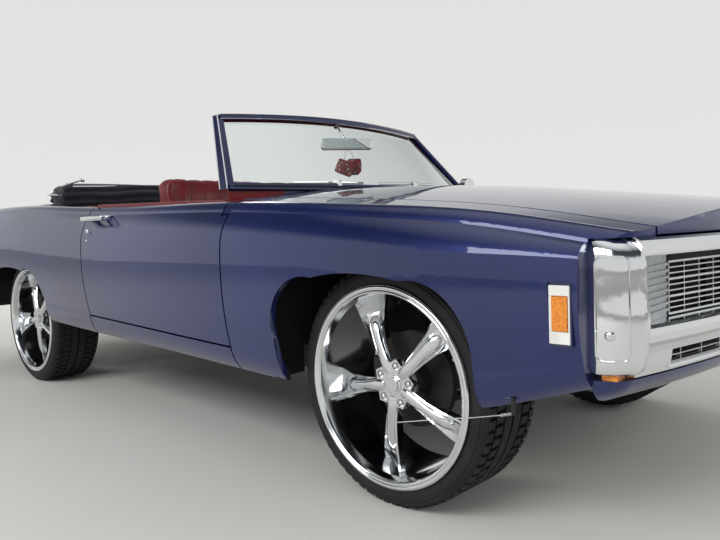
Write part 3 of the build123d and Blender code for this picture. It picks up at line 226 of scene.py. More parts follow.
def cloth(name, low, high, thread_mm):
    """Canvas top cloth, soft and matt: crossed threads 0.8 mm apart, drawn at 3 mm so that they show."""
    mat, t, place = start_material(name)
    scale = 1000 / thread_mm / 3.1
    warp, weft = [add_node(t, WAVES, {"Scale": scale, "Distortion": 0.6, "Detail": 1.0}, {"Vector": place},
                           {"wave_type": "BANDS", "bands_direction": axis}, out="Fac") for axis in "XY"]
    weave = add_node(t, MATH, links={0: warp, 1: weft}, settings={"operation": "MAXIMUM"})
    normal = add_node(t, BUMP, {"Distance": 0.0005, "Strength": 0.4}, {"Height": weave})
    fade = add_node(t, NOISE, {"Scale": 1000 / 120, "Detail": 4.0, "Roughness": 0.6}, {"Vector": place})
    colour = add_node(t, RAMP, links={"Fac": fade}, stops=[(0.3, low), (0.75, high)])
    rough = add_node(t, SPAN, {"To Min": 0.82, "To Max": 0.95}, {"Value": fade})
    return close_material(mat, t, {"Sheen Weight": 0.25, "Sheen Roughness": 0.5, "Specular IOR Level": 0.2},
                          {"Base Color": colour, "Roughness": rough, "Normal": normal})


def tyre_rubber(name):
    """Vulcanised rubber: near-black, fine mould grain, brownish road dust that gathers in the blotches."""
    mat, t, place = start_material(name)
    blotches = add_node(t, NOISE, {"Scale": 1000 / 90, "Detail": 6.0, "Roughness": 0.7}, {"Vector": place})
    colour = add_node(t, RAMP, links={"Fac": blotches},
                      stops=[(0.35, "#16161a"), (0.62, "#212124"), (0.85, "#35322f")])
    scuffs = add_node(t, NOISE, {"Scale": 1000 / 60, "Detail": 4.0, "Roughness": 0.55}, {"Vector": place})
    rough = add_node(t, SPAN, {"To Min": 0.55, "To Max": 0.8}, {"Value": scuffs})
    grain = add_node(t, NOISE, {"Scale": 1000 / 1.6, "Detail": 3.0, "Roughness": 0.55}, {"Vector": place})
    normal = add_node(t, BUMP, {"Distance": 0.00025, "Strength": 0.5}, {"Height": grain})
    return close_material(mat, t, {"Specular IOR Level": 0.35},
                          {"Base Color": colour, "Roughness": rough, "Normal": normal})


def clear_glass(name, code, streaks):
    """Laminated glass: almost clear, a slight green tint, thin film of dust that dulls it in streaks."""
    mat, t, place = start_material(name)
    film = add_node(t, NOISE, {"Scale": 1000 / 180, "Detail": 5.0, "Roughness": 0.6}, {"Vector": place})
    rough = add_node(t, SPAN, {"To Min": 0.0, "To Max": streaks}, {"Value": film})
    return close_material(mat, t, {"Base Color": linear(code), "Transmission Weight": 1.0, "IOR": 1.5},
                          {"Roughness": rough})


def ribbed_lens(name, low, high, glow):
    """Moulded lens plastic: tinted, glossy outside, optics behind that break the light into small cells."""
    mat, t, place = start_material(name)
    cells = add_node(t, CELLS, {"Scale": 160.0}, {"Vector": place}, {"feature": "F1"})
    colour = add_node(t, RAMP, links={"Fac": cells}, stops=[(0.1, low), (0.6, high)])
    normal = add_node(t, BUMP, {"Distance": 0.001, "Strength": 0.4}, {"Height": cells})
    return close_material(mat, t, {"Transmission Weight": glow, "IOR": 1.49, "Roughness": 0.12,
                                   "Coat Weight": 0.6, "Coat Roughness": 0.03},
                          {"Base Color": colour, "Normal": normal})


def egg_crate(name, low, high, dark, middle_y):
    """Anodised grille metal: bright on the ribbed ends; in the middle the lattice is matt dark, partly the
    black paint of its recesses and partly painted shade in them.
    """
    mat, t, place = start_material(name)
    streak = add_node(t, NOISE, {"Scale": 1000 / 26, "Detail": 5.0, "Roughness": 0.7}, {"Vector": place})
    metal = add_node(t, RAMP, links={"Fac": streak}, stops=[(0.25, low), (0.8, high)])
    # the middle of the lattice: dark colour that is partly black paint and partly painted shade of the
    # recesses
    recess = inside(t, place, (2.0, 0.0, 0.6), (3.0, middle_y, 1.0))
    colour = add_node(t, MIX, {7: linear(dark)}, {0: recess, 6: metal}, {"data_type": "RGBA"}, out=2)
    rough = add_node(t, SPAN, {"To Min": 0.3, "To Max": 0.7}, {"Value": recess})
    metallic = add_node(t, SPAN, {"To Min": 1.0, "To Max": 0.1}, {"Value": recess})
    normal = add_node(t, BUMP, {"Distance": 0.00008, "Strength": 0.3}, {"Height": streak})
    return close_material(mat, t, {}, {"Base Color": colour, "Roughness": rough, "Metallic": metallic,
                                       "Normal": normal})


def lamp_plastic(name, low, high, housing, lens_low, lens_high, low_lamp_z):
    """Amber lens plastic with small optics behind it; the housing round the side lens is painted."""
    mat, t, place = start_material(name)
    cells = add_node(t, CELLS, {"Scale": 160.0}, {"Vector": place})
    amber = add_node(t, RAMP, links={"Fac": cells}, stops=[(0.0, high), (0.8, low)])
    side_lens = inside(t, place, lens_low, lens_high)
    low_lamp = inside(t, place, (2.0, 0.0, 0.0), (3.0, 1.2, low_lamp_z))
    lens = add_node(t, MATH, links={0: side_lens, 1: low_lamp}, settings={"operation": "MAXIMUM"})
    colour = add_node(t, MIX, {6: linear(housing)}, {0: lens, 7: amber}, {"data_type": "RGBA"}, out=2)
    rough = add_node(t, SPAN, {"To Min": 0.12, "To Max": 0.3}, {"Value": cells})
    normal = add_node(t, BUMP, {"Distance": 0.0006, "Strength": 0.2}, {"Height": cells})
    return close_material(mat, t, {"Coat Weight": 0.7, "Coat Roughness": 0.03},
                          {"Base Color": colour, "Roughness": rough, "Normal": normal})


def brushed(name, low, high, rough_low, rough_high):
    """Bare or anodised metal with a fine grain along X: streaks in tone and gloss."""
    mat, t, place = start_material(name)
    lines = add_node(t, "ShaderNodeMapping", {"Scale": (1.0, 14.0, 14.0)}, {"Vector": place})
    streak = add_node(t, NOISE, {"Scale": 1000 / 40, "Detail": 6.0, "Roughness": 0.7}, {"Vector": lines})
    colour = add_node(t, RAMP, links={"Fac": streak}, stops=[(0.25, low), (0.8, high)])
    rough = add_node(t, SPAN, {"To Min": rough_low, "To Max": rough_high}, {"Value": streak})
    normal = add_node(t, BUMP, {"Distance": 0.00008, "Strength": 0.3}, {"Height": streak})
    return close_material(mat, t, {"Metallic": 1.0},
                          {"Base Color": colour, "Roughness": rough, "Normal": normal})


FINISH = {}


def make_finishes():
    """All the finishes of the car, by a plain name."""
    FINISH.update({
        "paint": metallic_paint("midnight blue metallic enamel", "#040d36", "#071b60", "#2847a6", 0.06),
        "chrome": plated("chromium plate", "#e2e4e6", 0.03, 0.14, 0.06),
        "alloy": plated("polished cast aluminium", "#dcdee0", 0.05, 0.17, 0.10),
        "rubber": tyre_rubber("tyre rubber"),
        "glass": clear_glass("laminated glass", "#eef4f3", 0.02),
        "mirror_glass": plated("silvered mirror glass", "#c9ced1", 0.01, 0.03, 0.0),
        "chassis_black": moulded("black chassis paint", "#0f0f11", "#26241f", 2.4, 0.45, 0.75),
        "cast": moulded("cast iron with road grime", "#272624", "#403d39", 3.0, 0.6, 0.9, 0.4, 0.5),
        "steel": brushed("bare steel tube", "#6c6a66", "#9c9a96", 0.3, 0.55),
        "red_vinyl": vinyl("red embossed vinyl", "#570a0f", "#7c1117"),
        "red_hard": moulded("red moulded dash plastic", "#5c0a0f", "#781218", 2.0, 0.4, 0.6),
        "top_fabric": cloth("dark canvas top cloth", "#15161c", "#262834", 3.0),
        "bright_silver": brushed("polished anodised edges", "#d2d6da", "#f2f4f5", 0.18, 0.30),
        # the grille's dark middle is partly black paint and partly painted shade in its recesses
        "egg_crate": egg_crate("egg-crate grille metal", "#a3a8ad", "#ccd0d4", "#0c0d12", 0.652),
        "amber": lamp_plastic("amber lens plastic", "#d97408", "#f6a21e", "#061546", (2.462, 0.9, 0.632),
                              (2.505, 1.0, 0.716), 0.53),
        "lens_red": ribbed_lens("red lens plastic", "#6e070b", "#b01319", 0.35),
        "black_plastic": moulded("black moulded plastic", "#0c0c0e", "#1b1b1e", 1.6, 0.4, 0.6),
        # painted shade: the near-black colour of the sheets behind the grille and in the bumper's slot
        "grille_painted_shade": moulded("painted shade behind the grille", "#08090c", "#121319", 3.0, 0.7, 0.9),
        "white_enamel": moulded("white enamelled plastic", "#dcdcd8", "#f2f2ee", 2.0, 0.25, 0.4, 0.05),
        "dice_red": moulded("red plush cloth", "#8c0f16", "#b5181f", 1.4, 0.75, 0.95, 0.8),
        "cord_white": moulded("white cotton string", "#d9d6cc", "#f0eee6", 0.9, 0.8, 0.95, 0.3),
        "hub_grey": moulded("grey cast hub face", "#6d7074", "#8d9094", 2.0, 0.35, 0.55, 0.1, 0.85),
    })




def wear(node, finish):
    """Gives a CAD node its finish."""
    mesh = NODES[node].data
    mesh.materials.clear()
    mesh.materials.append(FINISH[finish])


def piece(name, bm, finish, body, sharp_deg=38.0, outward=True):
    """Closes a bmesh into a named object with its finish, which rides on a body of the frame."""
    if outward:
        bmesh.ops.recalc_face_normals(bm, faces=bm.faces)
    mesh = bpy.data.meshes.new(name)
    bm.to_mesh(mesh)
    bm.free()
    for polygon in mesh.polygons:
        polygon.use_smooth = True
    mesh.set_sharp_from_angle(angle=math.radians(sharp_deg))
    mesh.materials.append(FINISH[finish])
    obj = bpy.data.objects.new(name, mesh)
    bpy.context.scene.collection.objects.link(obj)
    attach(obj, body)
    return obj


def stand(at, ahead):
    """A matrix at a point whose Z axis looks along a direction."""
    turn = Vector((0, 0, 1)).rotation_difference(Vector(ahead).normalized())
    return Matrix.Translation(Vector(at)) @ turn.to_matrix().to_4x4()


def rounded(bm, edges, offset, segments):
    """Rounds edges by an offset."""
    bmesh.ops.bevel(bm, geom=edges, offset=offset, segments=segments, profile=0.5, affect="EDGES",
                    material=-1)


def pushed(bm, faces, way):
    """Gives faces a thickness along a direction."""
    grown = bmesh.ops.extrude_face_region(bm, geom=faces)["geom"]
    bmesh.ops.translate(bm, vec=way, verts=[g for g in grown if isinstance(g, bmesh.types.BMVert)])


def block(bm, low, high, edge=0.0, segments=2):
    """A box between two corners, its edges rounded by edge."""
    low, high = Vector(low), Vector(high)
    size = high - low
    made = bmesh.ops.create_cube(bm, size=1.0, matrix=Matrix.Translation((low + high) / 2)
                                 @ Matrix.Diagonal((*size, 1.0)))
    if edge > 0:
        rounded(bm, list({e for v in made["verts"] for e in v.link_edges}), edge, segments)
    return made["verts"]


def side_block(bm, s, low, high, edge=0.0, segments=2):
    """A box whose corners are given for the left of the car, put on side s."""
    y0, y1 = sorted((s * low[1], s * high[1]))
    return block(bm, (low[0], y0, low[2]), (high[0], y1, high[2]), edge, segments)


def round_bar(bm, start, end, radius, segments=16):
    """A straight round bar."""
    start, end = Vector(start), Vector(end)
    bmesh.ops.create_cone(bm, cap_ends=True, segments=segments, radius1=radius, radius2=radius,
                          depth=(end - start).length, matrix=stand((start + end) / 2, end - start))


def tube(bm, points, width, height=None, segments=12, closed=False):
    """A bar that follows a list of points: a circle, or an ellipse of width by height, carried along them."""
    points = [Vector(p) for p in points]
    height = width if height is None else height
    ahead = []
    for i, p in enumerate(points):
        before = points[i - 1] if i > 0 or closed else p
        after = points[(i + 1) % len(points)] if i < len(points) - 1 or closed else p
        ahead.append((after - before).normalized())
    side = ahead[0].cross(Vector((0, 0, 1)))
    side = side.normalized() if side.length > 0.05 else Vector((0, 1, 0))
    places = []
    for p, a in zip(points, ahead):
        side = (side - a * side.dot(a)).normalized()
        up = side.cross(a)
        places.append(Matrix((side, up, a)).transposed().to_4x4())
        places[-1].translation = p
    ring = bmesh.ops.create_circle(bm, cap_ends=False, segments=segments, radius=1.0)["verts"]
    bmesh.ops.transform(bm, matrix=places[0] @ Matrix.Diagonal((width / 2, height / 2, 1.0, 1.0)), verts=ring)
    edges = list({e for v in ring for e in v.link_edges})
    start_edges = edges
    for here, there in zip(places[:-1], places[1:]):
        grown = bmesh.ops.extrude_edge_only(bm, edges=edges)["geom"]
        ring = [g for g in grown if isinstance(g, bmesh.types.BMVert)]
        edges = [g for g in grown if isinstance(g, bmesh.types.BMEdge)]
        bmesh.ops.transform(bm, matrix=there @ here.inverted(), verts=ring)
    if closed:
        bmesh.ops.bridge_loops(bm, edges=edges + start_edges)
    else:
        bmesh.ops.holes_fill(bm, edges=edges, sides=0)
        bmesh.ops.holes_fill(bm, edges=start_edges, sides=0)


def lathe(bm, profile, at, axis, steps=48):
    """A closed profile of (radius, distance along the axis) turned about the axis at a point."""
    place = stand(at, axis)
    verts = [bm.verts.new(place @ Vector((r, 0, d))) for r, d in profile]
    edges = [bm.edges.new((a, b)) for a, b in zip(verts, verts[1:] + verts[:1])]
    bmesh.ops.spin(bm, geom=verts + edges, cent=Vector(at), axis=Vector(axis).normalized(), dvec=(0, 0, 0),
                   angle=2 * math.pi, steps=steps, use_merge=True, use_duplicate=False)
    bmesh.ops.remove_doubles(bm, verts=bm.verts, dist=1e-6)


def knob(bm, at, ahead, radius, rise, steps=24):
    """A domed button: half a sphere, flattened to its rise."""
    place = stand(at, ahead) @ Matrix.Diagonal((radius, radius, rise, 1.0))
    made = bmesh.ops.create_uvsphere(bm, u_segments=steps, v_segments=12, radius=1.0, matrix=place)["verts"]
    back = [v for v in made if (v.co - Vector(at)).dot(Vector(ahead)) < -1e-5]
    bmesh.ops.delete(bm, geom=back, context="VERTS")
    rim = [e for e in bm.edges if e.is_boundary]
    bmesh.ops.holes_fill(bm, edges=rim, sides=0)


def resample(points, count):
    """Count points at equal steps along a line."""
    points = [Vector(p) for p in points]
    runs = [(b - a).length for a, b in zip(points[:-1], points[1:])]
    out = []
    for i in range(count):
        want = sum(runs) * i / (count - 1)
        for a, b, run in zip(points[:-1], points[1:], runs):
            if want <= run + 1e-9:
                out.append(a.lerp(b, min(want / run, 1.0)))
                break
            want -= run
    return out


def arc_points(a, mid, b, count):
    """Points along the circle through three points."""
    a, mid, b = Vector(a), Vector(mid), Vector(b)
    ab, am = b - a, mid - a
    normal = am.cross(ab)
    centre = a + (normal.cross(am) * ab.length_squared - normal.cross(ab) * am.length_squared) / (
        2 * normal.length_squared)
    normal.normalize()
    u = (a - centre).normalized()
    radius = (a - centre).length
    w = normal.cross(u)
    end = math.atan2((b - centre).dot(w), (b - centre).dot(u)) % (2 * math.pi)
    return [centre + (u * math.cos(end * k / (count - 1)) + w * math.sin(end * k / (count - 1))) * radius
            for k in range(count)]


def wheel_place(end, side):
    """Where a wheel stands: the middle of its lip plane and the outward direction."""
    s = SIDES[side]
    return Vector((AXLES[end], s * LIPS[end], HUB_Z)), Vector((0, s, 0))


def wheels():
    """Every wheel: end, side, body name."""
    return [(end, side, "wheel_" + end + "_" + side) for end in AXLES for side in SIDES]


class TyreSizes(bpy.types.PropertyGroup):
    """Sizes of the low-profile tyres."""
    radius: FloatProperty(name="Radius", description="Outer radius of the tread",
                          default=0.386, unit="LENGTH")
    tread_depth: FloatProperty(name="Tread depth", description="Depth of the grooves",
                               default=0.007, unit="LENGTH")
    width: FloatProperty(name="Width", description="Width over the sidewalls", default=0.274, unit="LENGTH")
    steps: IntProperty(name="Tread steps", description="Steps round the tyre, three to a tread block",
                       default=192)


class TrimSizes(bpy.types.PropertyGroup):
    """Sizes of bright trim and small fittings."""
    nut_width: FloatProperty(name="Nut width", description="Across flats of the wheel nuts",
                             default=0.019, unit="LENGTH")
    feeler_wire: FloatProperty(name="Feeler wire", description="Diameter of the kerb feeler's wire",
                               default=0.0035, unit="LENGTH")
    dice: FloatProperty(name="Dice", description="Edge of the two hanging dice", default=0.070, unit="LENGTH")


class PadSizes(bpy.types.PropertyGroup):
    """Sizes of the padded seats and the folded top."""
    voxel: FloatProperty(name="Voxel", description="Remesh size of the seats", default=0.012, unit="LENGTH")
    puff: FloatProperty(name="Puff", description="How far the padding may swell",
                        default=0.014, unit="LENGTH")
    channel: FloatProperty(name="Channel pitch", description="Distance between sewn channels", default=0.085,
                           unit="LENGTH")
    pleat: FloatProperty(name="Channel depth", description="Depth of the sewn channels",
                         default=0.006, unit="LENGTH")


class StageSizes(bpy.types.PropertyGroup):
    """The floor and the lamps."""
    reach: FloatProperty(name="Reach", description="Half width of the floor", default=40.0, unit="LENGTH")
    key: FloatProperty(name="Key lamp", description="Power of the large lamp in watts",
                       default=420.0, subtype="POWER")


class CONVERTIBLE_OT_finishes(bpy.types.Operator):
    """Gives every CAD node its real finish"""
    bl_idname = "convertible.finishes"
    bl_label = "Finishes"

    def execute(self, context):
        make_finishes()
        slots = {s["node"]: s["material_slot"] for s in frame["record"]["subparts"]}
        special = {"dashboard": "red_hard", "steering_column": "red_hard", "steering_wheel": "red_hard",
                   "driveshaft": "steel", "radiator": "black_plastic", "grille": "egg_crate",
                   "headlamp_covers": "egg_crate", "windshield_frame": "paint"}
        for node in NODES:
            wear(node, "alloy" if node.startswith("rim_") else special.get(node, slots[node]))
        return {"FINISHED"}


class CONVERTIBLE_OT_tyres(bpy.types.Operator):
    """Adds four low-profile tyres with a grooved, lugged tread"""
    bl_idname = "convertible.tyres"
    bl_label = "Tyres"

    def execute(self, context):
        sizes = context.scene.tyre_sizes
        base = sizes.radius - sizes.tread_depth
        half = sizes.width / 2
        # the section's outer wall from the bead to the shoulder: distance from the middle plane, radius
        wall = [(half - 0.010, 0.3055), (half - 0.0085, 0.325), (half - 0.005, 0.3275), (half - 0.003, 0.334),
                (half - 0.0005, 0.344), (half, 0.352), (half - 0.002, 0.360), (half - 0.005, 0.3615),
                (half - 0.006, 0.3675), (half - 0.012, 0.3745)]
        grooves = [0.094, 0.086, 0.050, 0.042, 0.005, -0.005, -0.042, -0.050, -0.086, -0.094]
        outline = wall + [(0.118, base - 0.001)]
        outline += [(y, base) for y in grooves]
        outline += [(-y, r) for y, r in reversed(outline[:len(wall) + 1])]
        for end, side, body in wheels():
            at, out = wheel_place(end, side)
            middle = at - out * (0.002 + half)
            bm = bmesh.new()
            lathe(bm, [(r, y) for y, r in outline], middle, out, sizes.steps)
            # blocks stand on three bands of the tread, two steps in three, and a whole rib by its middle
            ribs = []
            for face in bm.faces:
                point = face.calc_center_median() - middle
                across = abs(point.dot(out))
                radial = Vector((point.x, 0, point.z)).length
                if radial < base - 0.002 or across > 0.121:
                    continue
                turn = math.atan2(point.z, point.x) / (2 * math.pi) * sizes.steps
                shift = 1.0 if point.dot(out) > 0 else 2.0
                step = int(turn + sizes.steps + shift * (across > 0.09)) % 3
                rib = 0.094 < across < 0.121 or 0.050 < across < 0.086 or 0.005 < across < 0.042
                if rib and (step != 0 or across < 0.042):
                    ribs.append(face)
            grown = bmesh.ops.extrude_face_region(bm, geom=ribs)["geom"]
            tops = [g for g in grown if isinstance(g, bmesh.types.BMVert)]
            grow = sizes.radius / base
            bmesh.ops.scale(bm, vec=(grow, 1, grow), space=Matrix.Translation(-middle), verts=tops)
            tyre = piece("tyre_" + end + "_" + side + "_moulded", bm, "rubber", body, 30)
            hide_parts("tyre_" + end + "_" + side)
        return {"FINISHED"}


class CONVERTIBLE_OT_wheel_trim(bpy.types.Operator):
    """Adds wheel nuts, a centre ring, a rolled lip, a hub plate and a valve to each wheel"""
    bl_idname = "convertible.wheel_trim"
    bl_label = "Wheel trim"

    def execute(self, context):
        sizes = context.scene.trim_sizes
        for end, side, body in wheels():
            at, out = wheel_place(end, side)
            bm = bmesh.new()
            for i in range(5):
                a = math.radians(8 + 72 * i)
                spot = at + Vector((math.cos(a), 0, math.sin(a))) * 0.062
                round_bar(bm, spot - out * 0.0615, spot - out * 0.048, sizes.nut_width / 1.732, 6)
                knob(bm, spot - out * 0.048, out, sizes.nut_width * 0.42, 0.006, 12)
            lathe(bm, [(0.024, 0.004), (0.024, 0.0), (0.030, 0.0), (0.030, 0.003), (0.027, 0.0045)],
                  at - out * 0.0478, out, 40)
            piece("wheel_nuts_" + end + "_" + side, bm, "chrome", body)
            bm = bmesh.new()
            lathe(bm, [(0.3245, -0.0085), (0.3235, 0.0), (0.3205, 0.0032), (0.3165, 0.0040), (0.3130, 0.0026),
                       (0.3112, 0.0002), (0.3094, -0.0002), (0.3080, 0.0016), (0.3050, 0.0026),
                       (0.3018, 0.0014), (0.2996, -0.0020), (0.2996, -0.0040), (0.3140, -0.0040),
                       (0.3140, -0.0085)], at, out, 96)
            piece("rolled_lip_" + end + "_" + side, bm, "chrome", body)
            bm = bmesh.new()
            lathe(bm, [(0.036, -0.072), (0.036, -0.0635), (0.070, -0.0635), (0.078, -0.066),
                       (0.081, -0.072)], at, out, 60)
            piece("hub_plate_" + end + "_" + side, bm, "hub_grey", body)
            bm = bmesh.new()
            a = math.radians(80)
            spot = at + Vector((math.cos(a), 0, math.sin(a))) * 0.288
            inward = Vector((math.cos(a), 0, math.sin(a))) * -0.02
            round_bar(bm, spot - out * 0.05, spot - out * 0.03 + inward, 0.0035, 10)
            piece("valve_" + end + "_" + side, bm, "rubber", body)
        return {"FINISHED"}


# middle of the arc that the bumper follows in plan
BAR_MIDDLE = Vector((-0.782, 0.0, 0.0))


def nose_band(bm, profile, half_y):
    """A closed (radius, height) profile carried across the nose, parallel to the bumper's arc."""
    reach = math.asin(half_y / profile[0][0])
    turn = Matrix.Rotation(-reach, 3, "Z")
    verts = [bm.verts.new(BAR_MIDDLE + turn @ Vector((r, 0, z))) for r, z in profile]
    edges = [bm.edges.new((a, b)) for a, b in zip(verts, verts[1:] + verts[:1])]
    bmesh.ops.spin(bm, geom=verts + edges, cent=BAR_MIDDLE, axis=(0, 0, 1), dvec=(0, 0, 0),
                   angle=2 * reach, steps=40, use_merge=False, use_duplicate=False)
    ends = [e for e in bm.edges if e.is_boundary]
    bmesh.ops.holes_fill(bm, edges=ends, sides=0)


def crate(bm, start, end, rows, posts, post_pitch):
    """Bright front edges of an egg-crate panel that stands between two plan points."""
    start, end = Vector((*start, 0)), Vector((*end, 0))
    along = (end - start).normalized()
    place = Matrix((along, Vector((along.y, -along.x, 0)), Vector((0, 0, 1)))).transposed().to_4x4()
    place.translation = start
    length = (end - start).length
    made = []
    for z, thick in rows:
        made += block(bm, (0, 0.0003, z - thick / 2), (length, 0.0023, z + thick / 2))
    for i in range(posts + 1):
        u = min(max(i * post_pitch, 0.0015), length - 0.0015)
        made += block(bm, (u - 0.0014, 0.0003, rows[0][0]), (u + 0.0014, 0.0019, rows[-1][0]))
    bmesh.ops.transform(bm, matrix=place, verts=made)


TREES = {}


def on_surface(node, start, ahead):
    """Where a ray meets a CAD node."""
    mesh = NODES[node].data
    if node not in TREES:
        TREES[node] = BVHTree.FromPolygons([v.co for v in mesh.vertices],
                                           [tuple(p.vertices) for p in mesh.polygons])
    point = TREES[node].ray_cast(Vector(start), Vector(ahead))[0]
    if point is None:
        raise RuntimeError("no surface of " + node + " at " + str(tuple(start)))
    return point


class CONVERTIBLE_OT_nose(bpy.types.Operator):
    """Adds dark sheets of painted shade behind the grille and in the lower bar's slot, the grille's bright
    bar edges, the nose's beads, bumper bolts and marker bezels
    """
    bl_idname = "convertible.nose"
    bl_label = "Nose trim"

    def execute(self, context):
        bm = bmesh.new()
        # painted shade: a dark sheet behind the grille and one in the lower bar's slot stand for the shade in
        # these hollows
        block(bm, (2.6385, -0.341, 0.6375), (2.6425, 0.341, 0.800))
        nose_band(bm, [(3.4700, 0.5335), (3.4740, 0.5335), (3.4740, 0.5665), (3.4700, 0.5665)], 0.733)
        piece("grille_shade_sheet", bm, "grille_painted_shade", "chassis")
        rows = [(0.642 + i * 0.0148, 0.0056 if i % 3 == 0 else 0.0034) for i in range(10)]
        bm = bmesh.new()
        crate(bm, (2.660, -0.340), (2.660, 0.340), rows, 9, 0.680 / 9)
        crate(bm, (2.608, -0.650), (2.658, -0.346), rows, 4, 0.308 / 4)
        crate(bm, (2.658, 0.346), (2.608, 0.650), rows, 4, 0.308 / 4)
        piece("grille_edges", bm, "bright_silver", "chassis")
        bm = bmesh.new()
        nose_band(bm, [(3.4990, 0.5180), (3.5055, 0.5195), (3.5075, 0.5240), (3.5050, 0.5300),
                       (3.4990, 0.5315)], 0.745)
        nose_band(bm, [(3.5180, 0.8005), (3.5230, 0.8020), (3.5238, 0.8050), (3.5225, 0.8085),
                       (3.5180, 0.8085)], 0.868)
        piece("nose_beads", bm, "chrome", "chassis")
        for side, s in SIDES.items():
            bm = bmesh.new()
            knob(bm, (2.5792, s * 0.9338, 0.6220), (0.30, s * 0.954, 0.0), 0.0125, 0.0075)
            self.frame(bm, s)
            piece("bumper_bolt_" + side, bm, "chrome", "chassis")
            bm = bmesh.new()
            for a, b, c, d in ((2.4555, 0.602, 2.5085, 0.632), (2.4555, 0.716, 2.5085, 0.741),
                               (2.4555, 0.632, 2.4632, 0.716), (2.5040, 0.632, 2.5085, 0.716)):
                side_block(bm, s, (a, 0.9845, b), (c, 0.9885, d), 0.0012, 1)
            piece("marker_bezel_" + side, bm, "white_enamel", "chassis")
        return {"FINISHED"}

    def frame(self, bm, s):
        """The raised line round the face of a bumper end, laid on its surface."""
        along = Vector((0.92, -s * 0.39, 0))
        inward = Vector((-0.39, -s * 0.92, 0))
        middle = Vector((2.5830, s * 0.928, 0.682)) - inward * 0.1
        line = []
        for corner in range(4):
            su, sv = ((1, 1), (-1, 1), (-1, -1), (1, -1))[corner]
            for k in range(7):
                a = math.radians(90 * corner + 15 * k)
                line.append((su * 0.020 + 0.018 * math.cos(a), sv * 0.104 + 0.018 * math.sin(a)))
        path = []
        for i, (u, v) in enumerate(line):
            after = line[(i + 1) % len(line)]
            for k in range(4 if i % 7 == 6 else 1):
                at = Vector((u, v)).lerp(Vector(after), k / 4)
                path.append(on_surface("front_bumper", middle + along * at.x + Vector((0, 0, at.y)), inward))
        tube(bm, path, 0.0060, 0.0044, 8, closed=True)


class CONVERTIBLE_OT_feeler(bpy.types.Operator):
    """Adds the kerb feeler: a thin springy wire in a clamp on the lower edge of the right front wing"""
    bl_idname = "convertible.feeler"
    bl_label = "Kerb feeler"

    def execute(self, context):
        wire = context.scene.trim_sizes.feeler_wire
        bm = bmesh.new()
        way = [(2.330, -0.950, 0.404), (2.300, -0.962, 0.397), (2.230, -0.985, 0.384), (2.150, -0.998, 0.370),
               (2.060, -1.004, 0.350), (1.985, -1.006, 0.333)]
        tube(bm, resample(way, 24), wire, segments=8)
        knob(bm, way[-1], (-1, 0, -0.2), wire * 0.9, wire, 8)
        coil = []
        for i in range(97):
            a = i / 8 * 2 * math.pi
            base = Vector(way[0]).lerp(Vector(way[1]), i / 96)
            coil.append(base + Vector((0, math.cos(a), math.sin(a))) * 0.0042)
        tube(bm, coil, 0.0016, segments=6)
        piece("kerb_feeler", bm, "chrome", "chassis")
        bm = bmesh.new()
        block(bm, (2.326, -0.955, 0.399), (2.334, -0.945, 0.447), 0.0015)
        piece("feeler_clip", bm, "black_plastic", "chassis")
        return {"FINISHED"}


